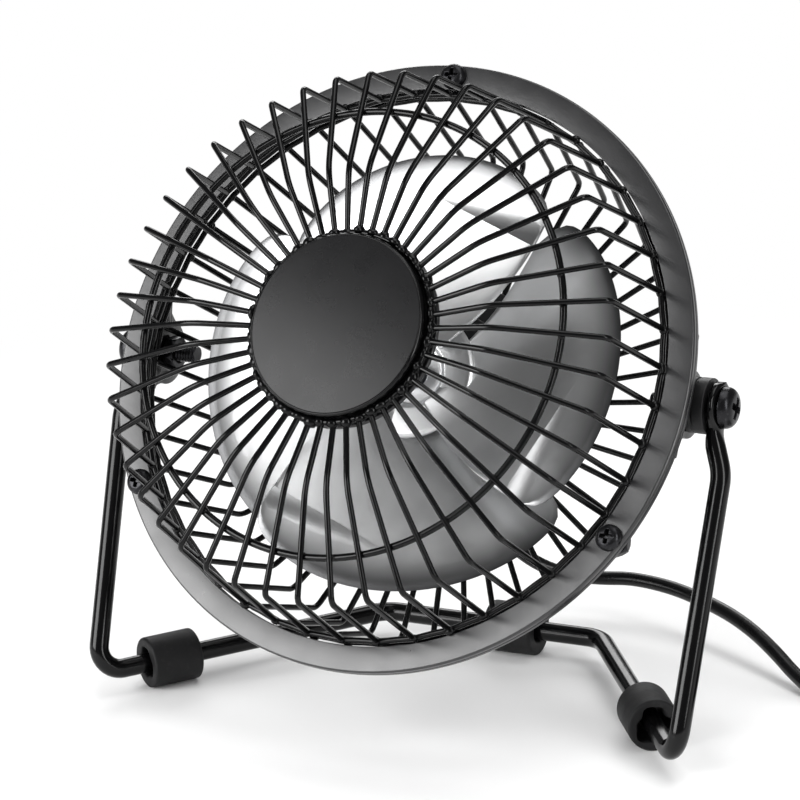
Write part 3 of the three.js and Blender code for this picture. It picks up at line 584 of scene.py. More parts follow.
def mottling() -> bpy.types.NodeTree:
    """A value that wanders between two levels over the surface, as a roughness does on a real finish.

    Returns:
        The group: a noise, spread smoothly from the low level to the high one.
    """
    kinds = {
        "Vector": ("NodeSocketVector", (0, 0, 0)),
        "Scale": ("NodeSocketFloat", 200.0),
        "Low": ("NodeSocketFloat", 0.3),
        "High": ("NodeSocketFloat", 0.4),
    }
    group = new_group("mottling", kinds, {"Value": "NodeSocketFloat"})
    nodes, links = group.nodes, group.links
    source, sink = nodes["Group Input"], nodes["Group Output"]
    noise = nodes.new("ShaderNodeTexNoise")
    noise.inputs["Detail"].default_value = 4
    noise.inputs["Roughness"].default_value = 0.55
    ramp = nodes.new("ShaderNodeMapRange")
    ramp.interpolation_type = "SMOOTHSTEP"
    ramp.inputs["From Min"].default_value = 0.2
    ramp.inputs["From Max"].default_value = 0.8
    links.new(source.outputs["Vector"], noise.inputs["Vector"])
    links.new(source.outputs["Scale"], noise.inputs["Scale"])
    links.new(noise.outputs["Fac"], ramp.inputs["Value"])
    links.new(source.outputs["Low"], ramp.inputs["To Min"])
    links.new(source.outputs["High"], ramp.inputs["To Max"])
    links.new(ramp.outputs["Result"], sink.inputs["Value"])
    return group


def specking() -> bpy.types.NodeTree:
    """A base colour with a second one in soft, sparse specks: dust, lint and small scuffs.

    Returns:
        The group: the colours mixed by the peaks of a noise.
    """
    kinds = {
        "Vector": ("NodeSocketVector", (0, 0, 0)),
        "Base": ("NodeSocketColor", (0, 0, 0, 1)),
        "Speck": ("NodeSocketColor", (1, 1, 1, 1)),
        "Scale": ("NodeSocketFloat", 900.0),
        "Amount": ("NodeSocketFloat", 0.3),
    }
    group = new_group("specking", kinds, {"Color": "NodeSocketColor"})
    nodes, links = group.nodes, group.links
    source, sink = nodes["Group Input"], nodes["Group Output"]
    noise = nodes.new("ShaderNodeTexNoise")
    noise.inputs["Detail"].default_value = 6
    ramp = nodes.new("ShaderNodeMapRange")
    ramp.inputs["From Min"].default_value = 0.56
    ramp.inputs["From Max"].default_value = 0.74
    scaled = nodes.new("ShaderNodeMath")
    scaled.operation = "MULTIPLY"
    mix = nodes.new("ShaderNodeMix")
    mix.data_type = "RGBA"
    links.new(source.outputs["Vector"], noise.inputs["Vector"])
    links.new(source.outputs["Scale"], noise.inputs["Scale"])
    links.new(noise.outputs["Fac"], ramp.inputs["Value"])
    links.new(ramp.outputs["Result"], scaled.inputs[0])
    links.new(source.outputs["Amount"], scaled.inputs[1])
    links.new(scaled.outputs["Value"], mix.inputs[0])
    links.new(source.outputs["Base"], mix.inputs[6])
    links.new(source.outputs["Speck"], mix.inputs[7])
    links.new(mix.outputs[2], sink.inputs["Color"])
    return group


def turning_marks() -> bpy.types.NodeTree:
    """Fine rings about the Y axis, as left by polishing a part that spins.

    Returns:
        The group: a noise of the distance from the axis, as a height.
    """
    kinds = {"Vector": ("NodeSocketVector", (0, 0, 0)), "Rings": ("NodeSocketFloat", 2500.0)}
    group = new_group("turning marks", kinds, {"Height": "NodeSocketFloat"})
    nodes, links = group.nodes, group.links
    source, sink = nodes["Group Input"], nodes["Group Output"]
    noise = nodes.new("ShaderNodeTexNoise")
    noise.noise_dimensions = "1D"
    noise.inputs["Detail"].default_value = 5
    links.new(axis_distance(group), noise.inputs["W"])
    links.new(source.outputs["Rings"], noise.inputs["Scale"])
    links.new(noise.outputs["Fac"], sink.inputs["Height"])
    return group


def painted_rim_reflection() -> bpy.types.NodeTree:
    """A colour that turns into another with distance from the Y axis: a painted dark reflection towards a
    blade's rim.

    Returns:
        The group: the colours mixed by a smooth step of the distance.
    """
    kinds = {
        "Vector": ("NodeSocketVector", (0, 0, 0)),
        "Inner": ("NodeSocketColor", (1, 1, 1, 1)),
        "Outer": ("NodeSocketColor", (0, 0, 0, 1)),
        "Start": ("NodeSocketFloat", 0.03),
        "End": ("NodeSocketFloat", 0.05),
    }
    group = new_group("painted rim reflection", kinds, {"Color": "NodeSocketColor"})
    nodes, links = group.nodes, group.links
    source, sink = nodes["Group Input"], nodes["Group Output"]
    ramp = nodes.new("ShaderNodeMapRange")
    ramp.interpolation_type = "SMOOTHSTEP"
    mix = nodes.new("ShaderNodeMix")
    mix.data_type = "RGBA"
    links.new(axis_distance(group), ramp.inputs["Value"])
    links.new(source.outputs["Start"], ramp.inputs["From Min"])
    links.new(source.outputs["End"], ramp.inputs["From Max"])
    links.new(ramp.outputs["Result"], mix.inputs[0])
    links.new(source.outputs["Inner"], mix.inputs[6])
    links.new(source.outputs["Outer"], mix.inputs[7])
    links.new(mix.outputs[2], sink.inputs["Color"])
    return group


GROUPS = {make.__name__: make() for make in (mottling, specking, turning_marks, painted_rim_reflection)}


@dataclass(frozen=True)
class Finish:
    """A finish: its colour and its speck colour, its shine, and the size and depth of its grain.

    Scales are in noise cells per metre. Depths, and the radii of the rim's painted dark reflection, are in
    millimetres.
    """

    name: str
    color: tuple
    speck: tuple
    rough: tuple = (0.3, 0.4)
    metallic: float = 0.0
    specular: float = 0.5
    amount: float = 0.25
    speck_scale: float = 900.0
    mottle_scale: float = 150.0
    grain_scale: float = 900.0
    grain_depth: float = 0.02
    rings: float = 0.0
    ring_depth: float = 0.0
    # The rim's colour: a painted dark reflection towards the blades' tips, between the two radii below.
    rim: tuple = ()
    painted_reflection_from: float = 39.0
    painted_reflection_to: float = 50.5

    def material(self) -> bpy.types.Material:
        """The finish as a material.

        Returns:
            The material of the finish's name, made at the first call.
        """
        made = bpy.data.materials.get(self.name)
        if made:
            return made
        made = bpy.data.materials.new(self.name)
        made.use_nodes = True
        tree = made.node_tree
        nodes, links = tree.nodes, tree.links
        surface = nodes["Principled BSDF"]
        surface.inputs["Metallic"].default_value = self.metallic
        surface.inputs["Specular IOR Level"].default_value = self.specular
        where = nodes.new("ShaderNodeTexCoord").outputs["Object"]
        specks = self._group(tree, "specking", where)
        specks.inputs["Base"].default_value = (*self.color, 1)
        specks.inputs["Speck"].default_value = (*self.speck, 1)
        specks.inputs["Scale"].default_value = self.speck_scale
        specks.inputs["Amount"].default_value = self.amount
        links.new(specks.outputs["Color"], surface.inputs["Base Color"])
        shine = self._group(tree, "mottling", where)
        shine.inputs["Scale"].default_value = self.mottle_scale
        shine.inputs["Low"].default_value = self.rough[0]
        shine.inputs["High"].default_value = self.rough[1]
        links.new(shine.outputs["Value"], surface.inputs["Roughness"])
        grain = self._group(tree, "mottling", where)
        grain.inputs["Scale"].default_value = self.grain_scale
        grain.inputs["Low"].default_value = 0.0
        grain.inputs["High"].default_value = 1.0
        relief = nodes.new("ShaderNodeBump")
        relief.inputs["Strength"].default_value = 0.6
        relief.inputs["Distance"].default_value = self.grain_depth * MM
        links.new(grain.outputs["Value"], relief.inputs["Height"])
        normal = relief
        if self.rings:
            centred = self._centred(tree, where)
            normal = self._rings(tree, centred, relief)
            # A painted dark reflection towards the blades' tips.
            if self.rim:
                self._paint_rim_reflection(tree, centred, specks.outputs["Color"])
        links.new(normal.outputs["Normal"], surface.inputs["Normal"])
        return made

    def _group(self, tree: bpy.types.NodeTree, name: str, where: bpy.types.NodeSocket) -> bpy.types.Node:
        """A node of a shared group.

        Args:
            tree: the material's node tree.
            name: the group's name.
            where: the coordinates that feed it.

        Returns:
            The node.
        """
        node = tree.nodes.new("ShaderNodeGroup")
        node.node_tree = GROUPS[name]
        tree.links.new(where, node.inputs["Vector"])
        return node

    def _centred(self, tree: bpy.types.NodeTree, where: bpy.types.NodeSocket) -> bpy.types.NodeSocket:
        """The coordinates in the head's own frame, about the fan's axis.

        Args:
            tree: the material's node tree.
            where: the object's coordinates.

        Returns:
            The socket that gives them.
        """
        centred = tree.nodes.new("ShaderNodeMapping")
        centred.vector_type = "TEXTURE"
        centred.inputs["Location"].default_value = tuple(HEAD.origin * MM)
        centred.inputs["Rotation"].default_value = Matrix(HEAD.axes.tolist()).to_euler()
        tree.links.new(where, centred.inputs["Vector"])
        return centred.outputs["Vector"]

    def _paint_rim_reflection(
        self, tree: bpy.types.NodeTree, centred: bpy.types.NodeSocket, inner: bpy.types.NodeSocket
    ) -> None:
        """Paints a dark reflection: turns the base colour into the rim's colour towards the blades' tips.

        Args:
            tree: the material's node tree.
            centred: the coordinates about the fan's axis.
            inner: the colour nearer to the axis.
        """
        shade = self._group(tree, "painted_rim_reflection", centred)
        shade.inputs["Outer"].default_value = (*self.rim, 1)
        shade.inputs["Start"].default_value = self.painted_reflection_from * MM
        shade.inputs["End"].default_value = self.painted_reflection_to * MM
        tree.links.new(inner, shade.inputs["Inner"])
        tree.links.new(shade.outputs["Color"], tree.nodes["Principled BSDF"].inputs["Base Color"])

    def _rings(
        self, tree: bpy.types.NodeTree, centred: bpy.types.NodeSocket, below: bpy.types.Node
    ) -> bpy.types.Node:
        """A bump of turning marks about the fan's axis.

        Args:
            tree: the material's node tree.
            centred: the coordinates about the fan's axis.
            below: the bump that they lie on.

        Returns:
            The bump of both.
        """
        marks = self._group(tree, "turning_marks", centred)
        marks.inputs["Rings"].default_value = self.rings
        relief = tree.nodes.new("ShaderNodeBump")
        relief.inputs["Strength"].default_value = 0.5
        relief.inputs["Distance"].default_value = self.ring_depth * MM
        tree.links.new(marks.outputs["Height"], relief.inputs["Height"])
        tree.links.new(below.outputs["Normal"], relief.inputs["Normal"])
        return relief


class Finishes(Enum):
    """The fan's finishes."""

    PAN_ENAMEL = Finish(
        "pan_enamel", (0.012, 0.012, 0.013), (0.03, 0.03, 0.032), (0.27, 0.33), specular=0.75,
        amount=0.2, grain_scale=700, grain_depth=0.01,
    )
    WIRE_ENAMEL = Finish(
        "wire_enamel", (0.002, 0.002, 0.0022), (0.005, 0.005, 0.0055), (0.1, 0.17), specular=0.22,
        amount=0.3, grain_scale=450, grain_depth=0.01,
    )
    STAND_ENAMEL = Finish(
        "stand_enamel", (0.002, 0.002, 0.0022), (0.006, 0.006, 0.0065), (0.12, 0.2), specular=0.26,
        amount=0.25, grain_scale=300, grain_depth=0.012,
    )
    CAP_ENAMEL = Finish(
        "cap_enamel", (0.006, 0.006, 0.0065), (0.014, 0.014, 0.015), (0.26, 0.3), specular=0.22,
        amount=0.15, grain_scale=800, grain_depth=0.005,
    )
    FOOT_RUBBER = Finish(
        "foot_rubber", (0.006, 0.006, 0.0065), (0.02, 0.02, 0.021), (0.55, 0.7), specular=0.3,
        amount=0.35, grain_scale=1200, grain_depth=0.03,
    )
    LEAD_JACKET = Finish(
        "lead_jacket", (0.003, 0.003, 0.0033), (0.01, 0.01, 0.011), (0.24, 0.32), specular=0.32,
        amount=0.2, grain_scale=1500, grain_depth=0.012,
    )
    MOULDED = Finish(
        "moulded_plastic", (0.007, 0.007, 0.0075), (0.02, 0.02, 0.021), (0.4, 0.5), specular=0.35,
        amount=0.25, grain_scale=2200, grain_depth=0.02,
    )
    ROCKER_GLOSS = Finish(
        "rocker_gloss", (0.006, 0.006, 0.0065), (0.02, 0.02, 0.021), (0.2, 0.3), specular=0.4,
        amount=0.15, grain_scale=1800, grain_depth=0.006,
    )
    OXIDE_STEEL = Finish(
        "oxide_steel", (0.022, 0.022, 0.024), (0.08, 0.08, 0.083), (0.24, 0.34), metallic=0.85,
        amount=0.4, grain_scale=1600, grain_depth=0.015,
    )
    BRIGHT_STEEL = Finish(
        "bright_steel", (0.62, 0.63, 0.65), (0.45, 0.46, 0.48), (0.18, 0.28), metallic=1.0, amount=0.4,
        grain_scale=1800, grain_depth=0.01,
    )
    # Its rim colour is a painted dark reflection towards the blades' tips.
    BLADE_ALUMINIUM = Finish(
        "blade_aluminium", (0.7, 0.705, 0.71), (0.5, 0.505, 0.51), (0.33, 0.4), metallic=1.0,
        amount=0.25, speck_scale=120, mottle_scale=90, grain_scale=1400, grain_depth=0.002,
        rings=1400.0, ring_depth=0.01, rim=(0.03, 0.03, 0.032),
    )
    HUB_BRASS = Finish(
        "hub_brass", (0.55, 0.42, 0.2), (0.4, 0.3, 0.14), (0.24, 0.34), metallic=1.0, rings=3000.0,
        ring_depth=0.01,
    )
    MAGNET = Finish(
        "magnet", (0.09, 0.09, 0.095), (0.15, 0.15, 0.155), (0.6, 0.75), grain_depth=0.03,
    )
    COPPER = Finish(
        "copper", (0.5, 0.24, 0.12), (0.3, 0.14, 0.07), (0.3, 0.4), metallic=0.9, rings=2000.0,
        ring_depth=0.03,
    )


def dress(piece: bpy.types.Object, finish: Finishes) -> bpy.types.Object:
    """Gives a piece its finish.

    Args:
        piece: the piece.
        finish: its finish.

    Returns:
        The piece.
    """
    piece.data.materials.clear()
    piece.data.materials.append(finish.value.material())
    return piece


def dress_node(node: str, finish: Finishes) -> None:
    """Gives a CAD node that stays in view its finish.

    Args:
        node: the node's name.
        finish: its finish.
    """
    materials = frame["nodes"][node].data.materials
    for i in range(len(materials)):
        materials[i] = finish.value.material()


def settle(piece: bpy.types.Object, body: str, finish: Finishes, slot: str, *nodes: str) -> bpy.types.Object:
    """Dresses a piece, lets it ride on a body and lets it stand for CAD nodes.

    Args:
        piece: the new object.
        body: the CAD body that it moves with.
        finish: its finish.
        slot: the record's material slot; not used.
        nodes: the CAD nodes that it stands for.

    Returns:
        The piece.
    """
    dress(piece, finish)
    if nodes:
        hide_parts(*nodes)
    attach(piece, body)
    LOG.info("%s rides on %s", piece.name, body)
    return piece


# ---- Camera, floor and light -----------------------------------------------------------------------


@dataclass
class Studio:
    """The camera, the pale floor and soft light."""

    azimuth: float = 27.37
    elevation: float = 16.71
    roll: float = 2.51
    distance: float = 789.0
    lens: float = 162.3
    across: float = -4.2
    upward: float = -4.9
    floor_half: float = 6000.0
    fade_from: float = 0.13
    fade_to: float = 0.34
    surround: float = 0.42
    surround_in_gloss: float = 0.14
    surround_in_view: float = 1.0
    # Each softbox's spot and size in metres, and its power in watts.
    softboxes: tuple = (
        ("key", (-0.6, -0.82, 0.42), (0.68, 0.68), 13),
        ("overhead", (0.15, 0.1, 1.3), (1.1, 0.9), 8),
        ("right", (1.0, -0.45, 0.55), (0.25, 0.9), 6),
        ("behind", (-0.5, 1.1, 0.7), (0.9, 0.5), 6),
    )

    def camera(self) -> None:
        """A camera on a sphere about the tilt axis, rolled a little."""
        a, e, r = np.radians([self.azimuth, self.elevation, self.roll])
        right = np.array([np.cos(a), np.sin(a), 0])
        back = np.array([np.sin(a) * np.cos(e), -np.cos(a) * np.cos(e), np.sin(e)])
        up = np.cross(back, right)
        spot = PIVOT + right * self.across + up * self.upward + back * self.distance
        x_axis = right * np.cos(r) - up * np.sin(r)
        y_axis = right * np.sin(r) + up * np.cos(r)
        data = bpy.data.cameras.new("camera")
        data.lens = self.lens
        data.clip_start = 0.05
        camera = bpy.data.objects.new("camera", data)
        turn = Matrix(np.stack([x_axis, y_axis, back], axis=1).tolist())
        camera.matrix_world = Matrix.Translation(Vector(spot * MM)) @ turn.to_4x4()
        bpy.context.scene.collection.objects.link(camera)
        bpy.context.scene.camera = camera

    def floor(self) -> None:
        """A pale floor under the whole view."""
        corners = np.array([[-1, -1, 0], [1, -1, 0], [1, 1, 0], [-1, 1, 0]], float) * self.floor_half
        sheet = Shell(corners, np.array([[0, 1, 2, 3]]), np.zeros((0, 3), int))
        floor = sheet.piece("floor", ROW)
        floor.data.materials.append(self.paper())

    def paper(self) -> bpy.types.Material:
        """White paper that fades into plain white away from the fan, as an endless backdrop does.

        Returns:
            The material. The fade is a smooth step of the distance from the origin, in metres.
        """
        paper = bpy.data.materials.new("paper")
        paper.use_nodes = True
        nodes, links = paper.node_tree.nodes, paper.node_tree.links
        surface = nodes["Principled BSDF"]
        surface.inputs["Base Color"].default_value = (0.9, 0.9, 0.9, 1)
        surface.inputs["Roughness"].default_value = 0.6
        surface.inputs["Specular IOR Level"].default_value = 0.2
        glow = nodes.new("ShaderNodeEmission")
        glow.inputs["Color"].default_value = (1, 1, 1, 1)
        glow.inputs["Strength"].default_value = 1.0
        distance = nodes.new("ShaderNodeVectorMath")
        distance.operation = "LENGTH"
        fade = nodes.new("ShaderNodeMapRange")
        fade.interpolation_type = "SMOOTHSTEP"
        fade.inputs["From Min"].default_value = self.fade_from
        fade.inputs["From Max"].default_value = self.fade_to
        mix = nodes.new("ShaderNodeMixShader")
        links.new(nodes.new("ShaderNodeTexCoord").outputs["Object"], distance.inputs[0])
        links.new(distance.outputs["Value"], fade.inputs["Value"])
        links.new(fade.outputs["Result"], mix.inputs["Fac"])
        links.new(surface.outputs["BSDF"], mix.inputs[1])
        links.new(glow.outputs["Emission"], mix.inputs[2])
        links.new(mix.outputs["Shader"], nodes["Material Output"].inputs["Surface"])
        return paper

    def sky(self) -> None:
        """A white surround: full in view, dimmer as a light, and dimmest in reflections."""
        world = bpy.data.worlds.new("surround")
        bpy.context.scene.world = world
        world.use_nodes = True
        nodes, links = world.node_tree.nodes, world.node_tree.links
        lighting = nodes["Background"]
        path = nodes.new("ShaderNodeLightPath")
        lighting.inputs["Color"].default_value = (1, 1, 1, 1)
        lighting.inputs["Strength"].default_value = self.surround
        below = lighting
        strengths = {"Is Glossy Ray": self.surround_in_gloss, "Is Camera Ray": self.surround_in_view}
        for rays, strength in strengths.items():
            seen = nodes.new("ShaderNodeBackground")
            seen.inputs["Color"].default_value = (1, 1, 1, 1)
            seen.inputs["Strength"].default_value = strength
            mix = nodes.new("ShaderNodeMixShader")
            links.new(path.outputs[rays], mix.inputs["Fac"])
            links.new(below.outputs[0], mix.inputs[1])
            links.new(seen.outputs["Background"], mix.inputs[2])
            below = mix
        links.new(below.outputs["Shader"], nodes["World Output"].inputs["Surface"])

    def softbox(self, name: str, spot: tuple, size: tuple, power: float) -> None:
        """An area light aimed at the tilt axis's middle.

        Args:
            name: the light's name.
            spot: its place in metres.
            size: its width and height in metres.
            power: its power in watts.
        """
        data = bpy.data.lights.new(name, "AREA")
        data.shape = "RECTANGLE"
        data.size, data.size_y = size
        data.energy = power
        lamp = bpy.data.objects.new(name, data)
        aim = (Vector(PIVOT * MM) - Vector(spot)).to_track_quat("-Z", "Y")
        lamp.matrix_world = Matrix.Translation(Vector(spot)) @ aim.to_matrix().to_4x4()
        bpy.context.scene.collection.objects.link(lamp)

    def build(self) -> None:
        """Camera, floor, surround and lights."""
        self.camera()
        self.floor()
        self.sky()
        for softbox in self.softboxes:
            self.softbox(*softbox)
        bpy.context.scene.view_settings.view_transform = "Standard"


# ---- Lead ------------------------------------------------------------------------------------------


@dataclass
class Lead:
    """The USB lead: a free stretch, a neat coil and a tail to the plug, with its strain relief and tie."""

    diameter: float = 3.3
    sides: int = 14
    pitch: float = 3.4
    columns: int = 4
    outer_turn: float = 22.9
    coil_centre: tuple = (126.5, 25.2)
    first_layer: float = 2.55
    entry_angle: float = -124.5
    gland_right: float = -6.5
    gland_below: float = 16.0
    cover_rear: float = 45.5
    relief_length: float = 10.6
    # The free stretch after the strain relief and the tail to the plug, from under the tilt axis.
    route: tuple = (
        (-6.3, 36.6, 34.3), (-5.4, 42.2, 29), (-3.2, 46, 23.4), (0.3, 48.6, 18.3), (4.8, 51.4, 14.4),
        (10.6, 54.2, 12), (17.1, 55.8, 11.5), (25, 56.3, 12), (35, 54.5, 11.9), (44.4, 51.2, 11.1),
        (54, 46.5, 9.9), (61.6, 42, 8.1), (68.1, 37.5, 5.9), (74, 33.2, 3.5), (79.6, 29.2, 2),
        (86.2, 24.8, 1.7), (94, 19.6, 1.7), (102.4, 14, 1.8),
    )
    tail: tuple = (
        (149.4, 31, 5.2), (149.4, 39, 3.4), (149.1, 46, 2.1), (147.4, 52, 2), (144.3, 57, 2.7),
        (140, 59.9, 3.4), (134.3, 60.5, 3.8),
    )
    # The bend under a tilt: all of it below the first point, none of it above this point of the line.
    still_below: tuple = (30, 60, 9)
    moves_above: int = 6
    point_spacing: float = 1.6
    tie_radius: float = 17.8
    tie_half_width: float = 7.55
    tie_half_height: float = 4.15
    tie_half_length: float = 2.4
    tie_angle: float = -35.0

    def coil(self) -> np.ndarray:
        """The coil's centreline.

        Turns lie side by side a pitch apart: inwards along the floor, up one layer, and outwards
        again. The radius steps over the last fifth of a turn.

        Returns:
            The points, in millimetres, from under the tilt axis.
        """
        turns = 2 * self.columns - 1 - self.entry_angle / 360
        turn = np.linspace(0, turns, int(turns * 22))[1:]
        whole = np.floor(turn)
        step = whole + smooth_step(turn - whole, 0.8, 1.0)
        column = np.where(step <= self.columns - 1, step, np.maximum(2 * self.columns - 1 - step, 0))
        column = np.clip(column, 0, self.columns - 1)
        radius = self.outer_turn - self.pitch * column
        layer = smooth_step(turn, self.columns - 0.35, self.columns + 0.05)
        angle = np.radians(self.entry_angle) + 2 * np.pi * turn
        height = self.first_layer + self.pitch * layer
        x, y = self.coil_centre
        return np.stack([x + radius * np.cos(angle), y + radius * np.sin(angle), height], -1)

    def centreline(self) -> np.ndarray:
        """The whole lead, from inside the strain relief to inside the plug.

        Returns:
            The points of its centreline, in millimetres.
        """
        inside = self.relief_place().moved(y=-2).origin
        tip = self.relief_place().moved(y=self.relief_length).origin
        shift = np.array([0, PIVOT[1], 0])
        start = np.radians(self.entry_angle)
        x, y = self.coil_centre
        foot = (x + self.outer_turn * np.cos(start), y + self.outer_turn * np.sin(start), self.first_layer)
        laid = [*self.route, foot, *self.coil(), *self.tail]
        points = np.array(laid) + shift
        return through([inside, tip, *points], self.point_spacing)

    def relief_place(self) -> Place:
        """Where the strain relief leaves the rear cover, with Y along the lead."""
        return HEAD.moved(self.gland_right, self.cover_rear, -self.gland_below)

    def relief(self) -> bpy.types.Object:
        """A tapered, grooved rubber sleeve.

        Returns:
            The piece.
        """
        grooves = []
        for i in range(4):
            y = 2.6 + 1.9 * i
            r = 3.0 - 0.14 * i
            grooves += [(r, y), (r, y + 1.1), (r - 0.55, y + 1.15), (r - 0.55, y + 1.85)]
        profile = [(1.7, -4), (2.9, -4), (2.9, 0.3), (4.2, 0.3), (4.2, 1.6), (3.1, 2.2), *grooves,
                   (2.4, 10.2), (2.3, 10.6), (1.7, 10.6)]
        sleeve = turned(profile, 48, 0.25, closed=True).piece("strain_relief_sleeve", self.relief_place())
        return settle(sleeve, "head", Finishes.FOOT_RUBBER, "black_rubber", "strain_relief")

    def tie(self) -> bpy.types.Object:
        """A flat band round the coil's turns with a small buckle, at one side of the coil.

        Returns:
            The piece.
        """
        width, height, half = 2 * self.tie_half_width, 2 * self.tie_half_height, self.tie_half_length
        out = np.array([self.tie_radius, 0])
        outline = rounded_box(width, height, 1.6, 8) + out
        inner = rounded_box(width - 1, height - 1, 1.2, 8) + out
        band = Shell.grid(stacked([(inner, -half), (outline, -half), (outline, half), (inner, half)]), True)
        buckle = slab(rounded_box(1.6, 3.4, 0.5), -half - 0.5, half + 0.5, 0.3)
        beyond = np.array([self.tie_radius + self.tie_half_width + 0.4, 0, 0])
        buckle = buckle.mapped(lambda p: p + beyond)
        c, s = np.cos(np.radians(self.tie_angle)), np.sin(np.radians(self.tie_angle))
        x, y = self.coil_centre
        origin = np.array([x, y + PIVOT[1], self.tie_half_height])
        place = Place(origin, np.array([[c, -s, 0], [s, c, 0], [0, 0, 1]]))
        piece = Shell.joined(band, buckle).piece("coil_tie_band", place)
        return settle(piece, "stand", Finishes.MOULDED, "black_plastic", "lead_tie")

    def build(self, plug_pieces: list) -> None:
        """The lead itself, its strain relief and its tie.

        Args:
            plug_pieces: the plug's pieces, which go with the lead; not used.
        """
        line = self.centreline()
        piece = tube(line, self.diameter / 2, self.sides).piece("usb_lead", ROW)
        dress(piece, Finishes.LEAD_JACKET)
        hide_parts("lead", "lead_tail", "lead_coil")
        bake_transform(piece)
        relief, tie = self.relief(), self.tie()
        exit_point = self.relief_place().moved(y=self.relief_length).origin * MM


@dataclass
class Plug:
    """The USB plug: a moulded grip, its strain relief, the steel shell and the tongue in it."""

    grip_length: float = 22
    grip_width: float = 15
    grip_height: float = 7.6
    relief_length: float = 8
    shell_length: float = 11.7
    shell_width: float = 12
    shell_height: float = 4.5
    wall: float = 0.4
    squareness: float = 5.0
    ribs: int = 9

    def place(self) -> Place:
        """The plug's own frame.

        Returns:
            The place at the grip's shell end, with Y towards the lead.
        """
        low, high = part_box("usb_plug")
        origin = np.array([low.x, (low.y + high.y) / 2, (low.z + high.z) / 2]) / MM
        return Place(origin, X_AXIS_IS_Y)

    def grip(self) -> bpy.types.Object:
        """The grip, waisted along its length, with shallow finger ribs, and its tapered relief.

        Its section is a superellipse. The waist is half a sine along the grip, the ribs are the
        crests of a cosine, and the ends are rounded as a quarter circle is.

        Returns:
            The piece.
        """
        along = np.linspace(0, 1, 60)[:, None]
        angle = np.linspace(0, 2 * np.pi, 64, endpoint=False)
        cos, sin = np.cos(angle), np.sin(angle)
        power = self.squareness
        radius = (np.abs(cos) ** power + np.abs(sin) ** power) ** (-1 / power)
        end = np.clip(np.minimum(along, 1 - along) * self.grip_length / 1.2, 0, 1)
        easing = 1 - 0.12 * (1 - np.sqrt(1 - (1 - end) ** 2))
        waist = 1 - 0.05 * np.sin(np.pi * along)
        crests = smooth_step(np.cos(2 * np.pi * (along - 0.5) * self.ribs), 0.0, 0.6)
        ribs = 0.2 * crests * (np.abs(along - 0.5) < 0.28)
        x = (self.grip_width / 2 * waist - ribs) * radius * easing * cos
        z = self.grip_height / 2 * radius * easing * sin
        body = Shell.grid(np.stack([x, along * self.grip_length + 0 * x, z], -1))
        profile = [(0.4, self.grip_length - 0.5)]
        for i in range(3):
            y = self.grip_length + 0.4 + 2.4 * i
            crest, groove = 2.85 - 0.15 * i, 2.3 - 0.1 * i
            profile += [(crest, y), (crest, y + 1.5), (groove, y + 1.6), (groove, y + 2.3)]
        end_y = self.grip_length + self.relief_length
        profile += [(2.0, end_y - 0.2), (1.68, end_y), (0.4, end_y - 0.1)]
        relief = turned(profile, 40, 0.25)
        piece = Shell.joined(body, relief).piece("usb_plug_grip", self.place())
        return settle(piece, "stand", Finishes.MOULDED, "black_plastic", "usb_plug")

    def shell(self) -> tuple:
        """The folded steel shell: a rounded rectangular tube, open at its mouth and closed at the grip.

        Returns:
            The shell, and the dark plates of painted shade that stand for its two latch windows.
        """
        outer = rounded_box(self.shell_width, self.shell_height, 0.6, 4)
        inner = rounded_box(self.shell_width - 2 * self.wall, self.shell_height - 2 * self.wall, 0.35, 4)
        mouth, root = -self.shell_length - 0.3, -0.3
        closing = root - 2 * self.wall
        levels = [(inner * 0.02, closing), (inner, closing), (inner, mouth), (outer, mouth), (outer, root)]
        piece = Shell.grid(stacked(levels)).piece("usb_plug_shell", self.place())
        # Dark plates on the shell's top: painted shade in place of the latch windows' holes.
        plate = slab(rounded_box(2, 2.2, 0.2, 2), -0.05, 0.05, 0.02)
        window_shades = []
        for x in (-2.6, 2.6):
            spot = np.array([x, -7.2, self.shell_height / 2])
            window_shades.append(plate.mapped(lambda p, spot=spot: p[:, [0, 2, 1]] + spot))
        marks = Shell.joined(*window_shades).piece("usb_latch_window_shade", self.place())
        settle(piece, "stand", Finishes.BRIGHT_STEEL, "steel", "usb_shell")
        return piece, settle(marks, "stand", Finishes.MOULDED, "black_plastic")

    def build(self) -> list:
        """The plug's pieces.

        Returns:
            The pieces, with the name of the CAD tongue among them.
        """
        dress_node("usb_tongue", Finishes.MOULDED)
        return [self.grip(), *self.shell(), "usb_tongue"]


# ---- Stand -----------------------------------------------------------------------------------------


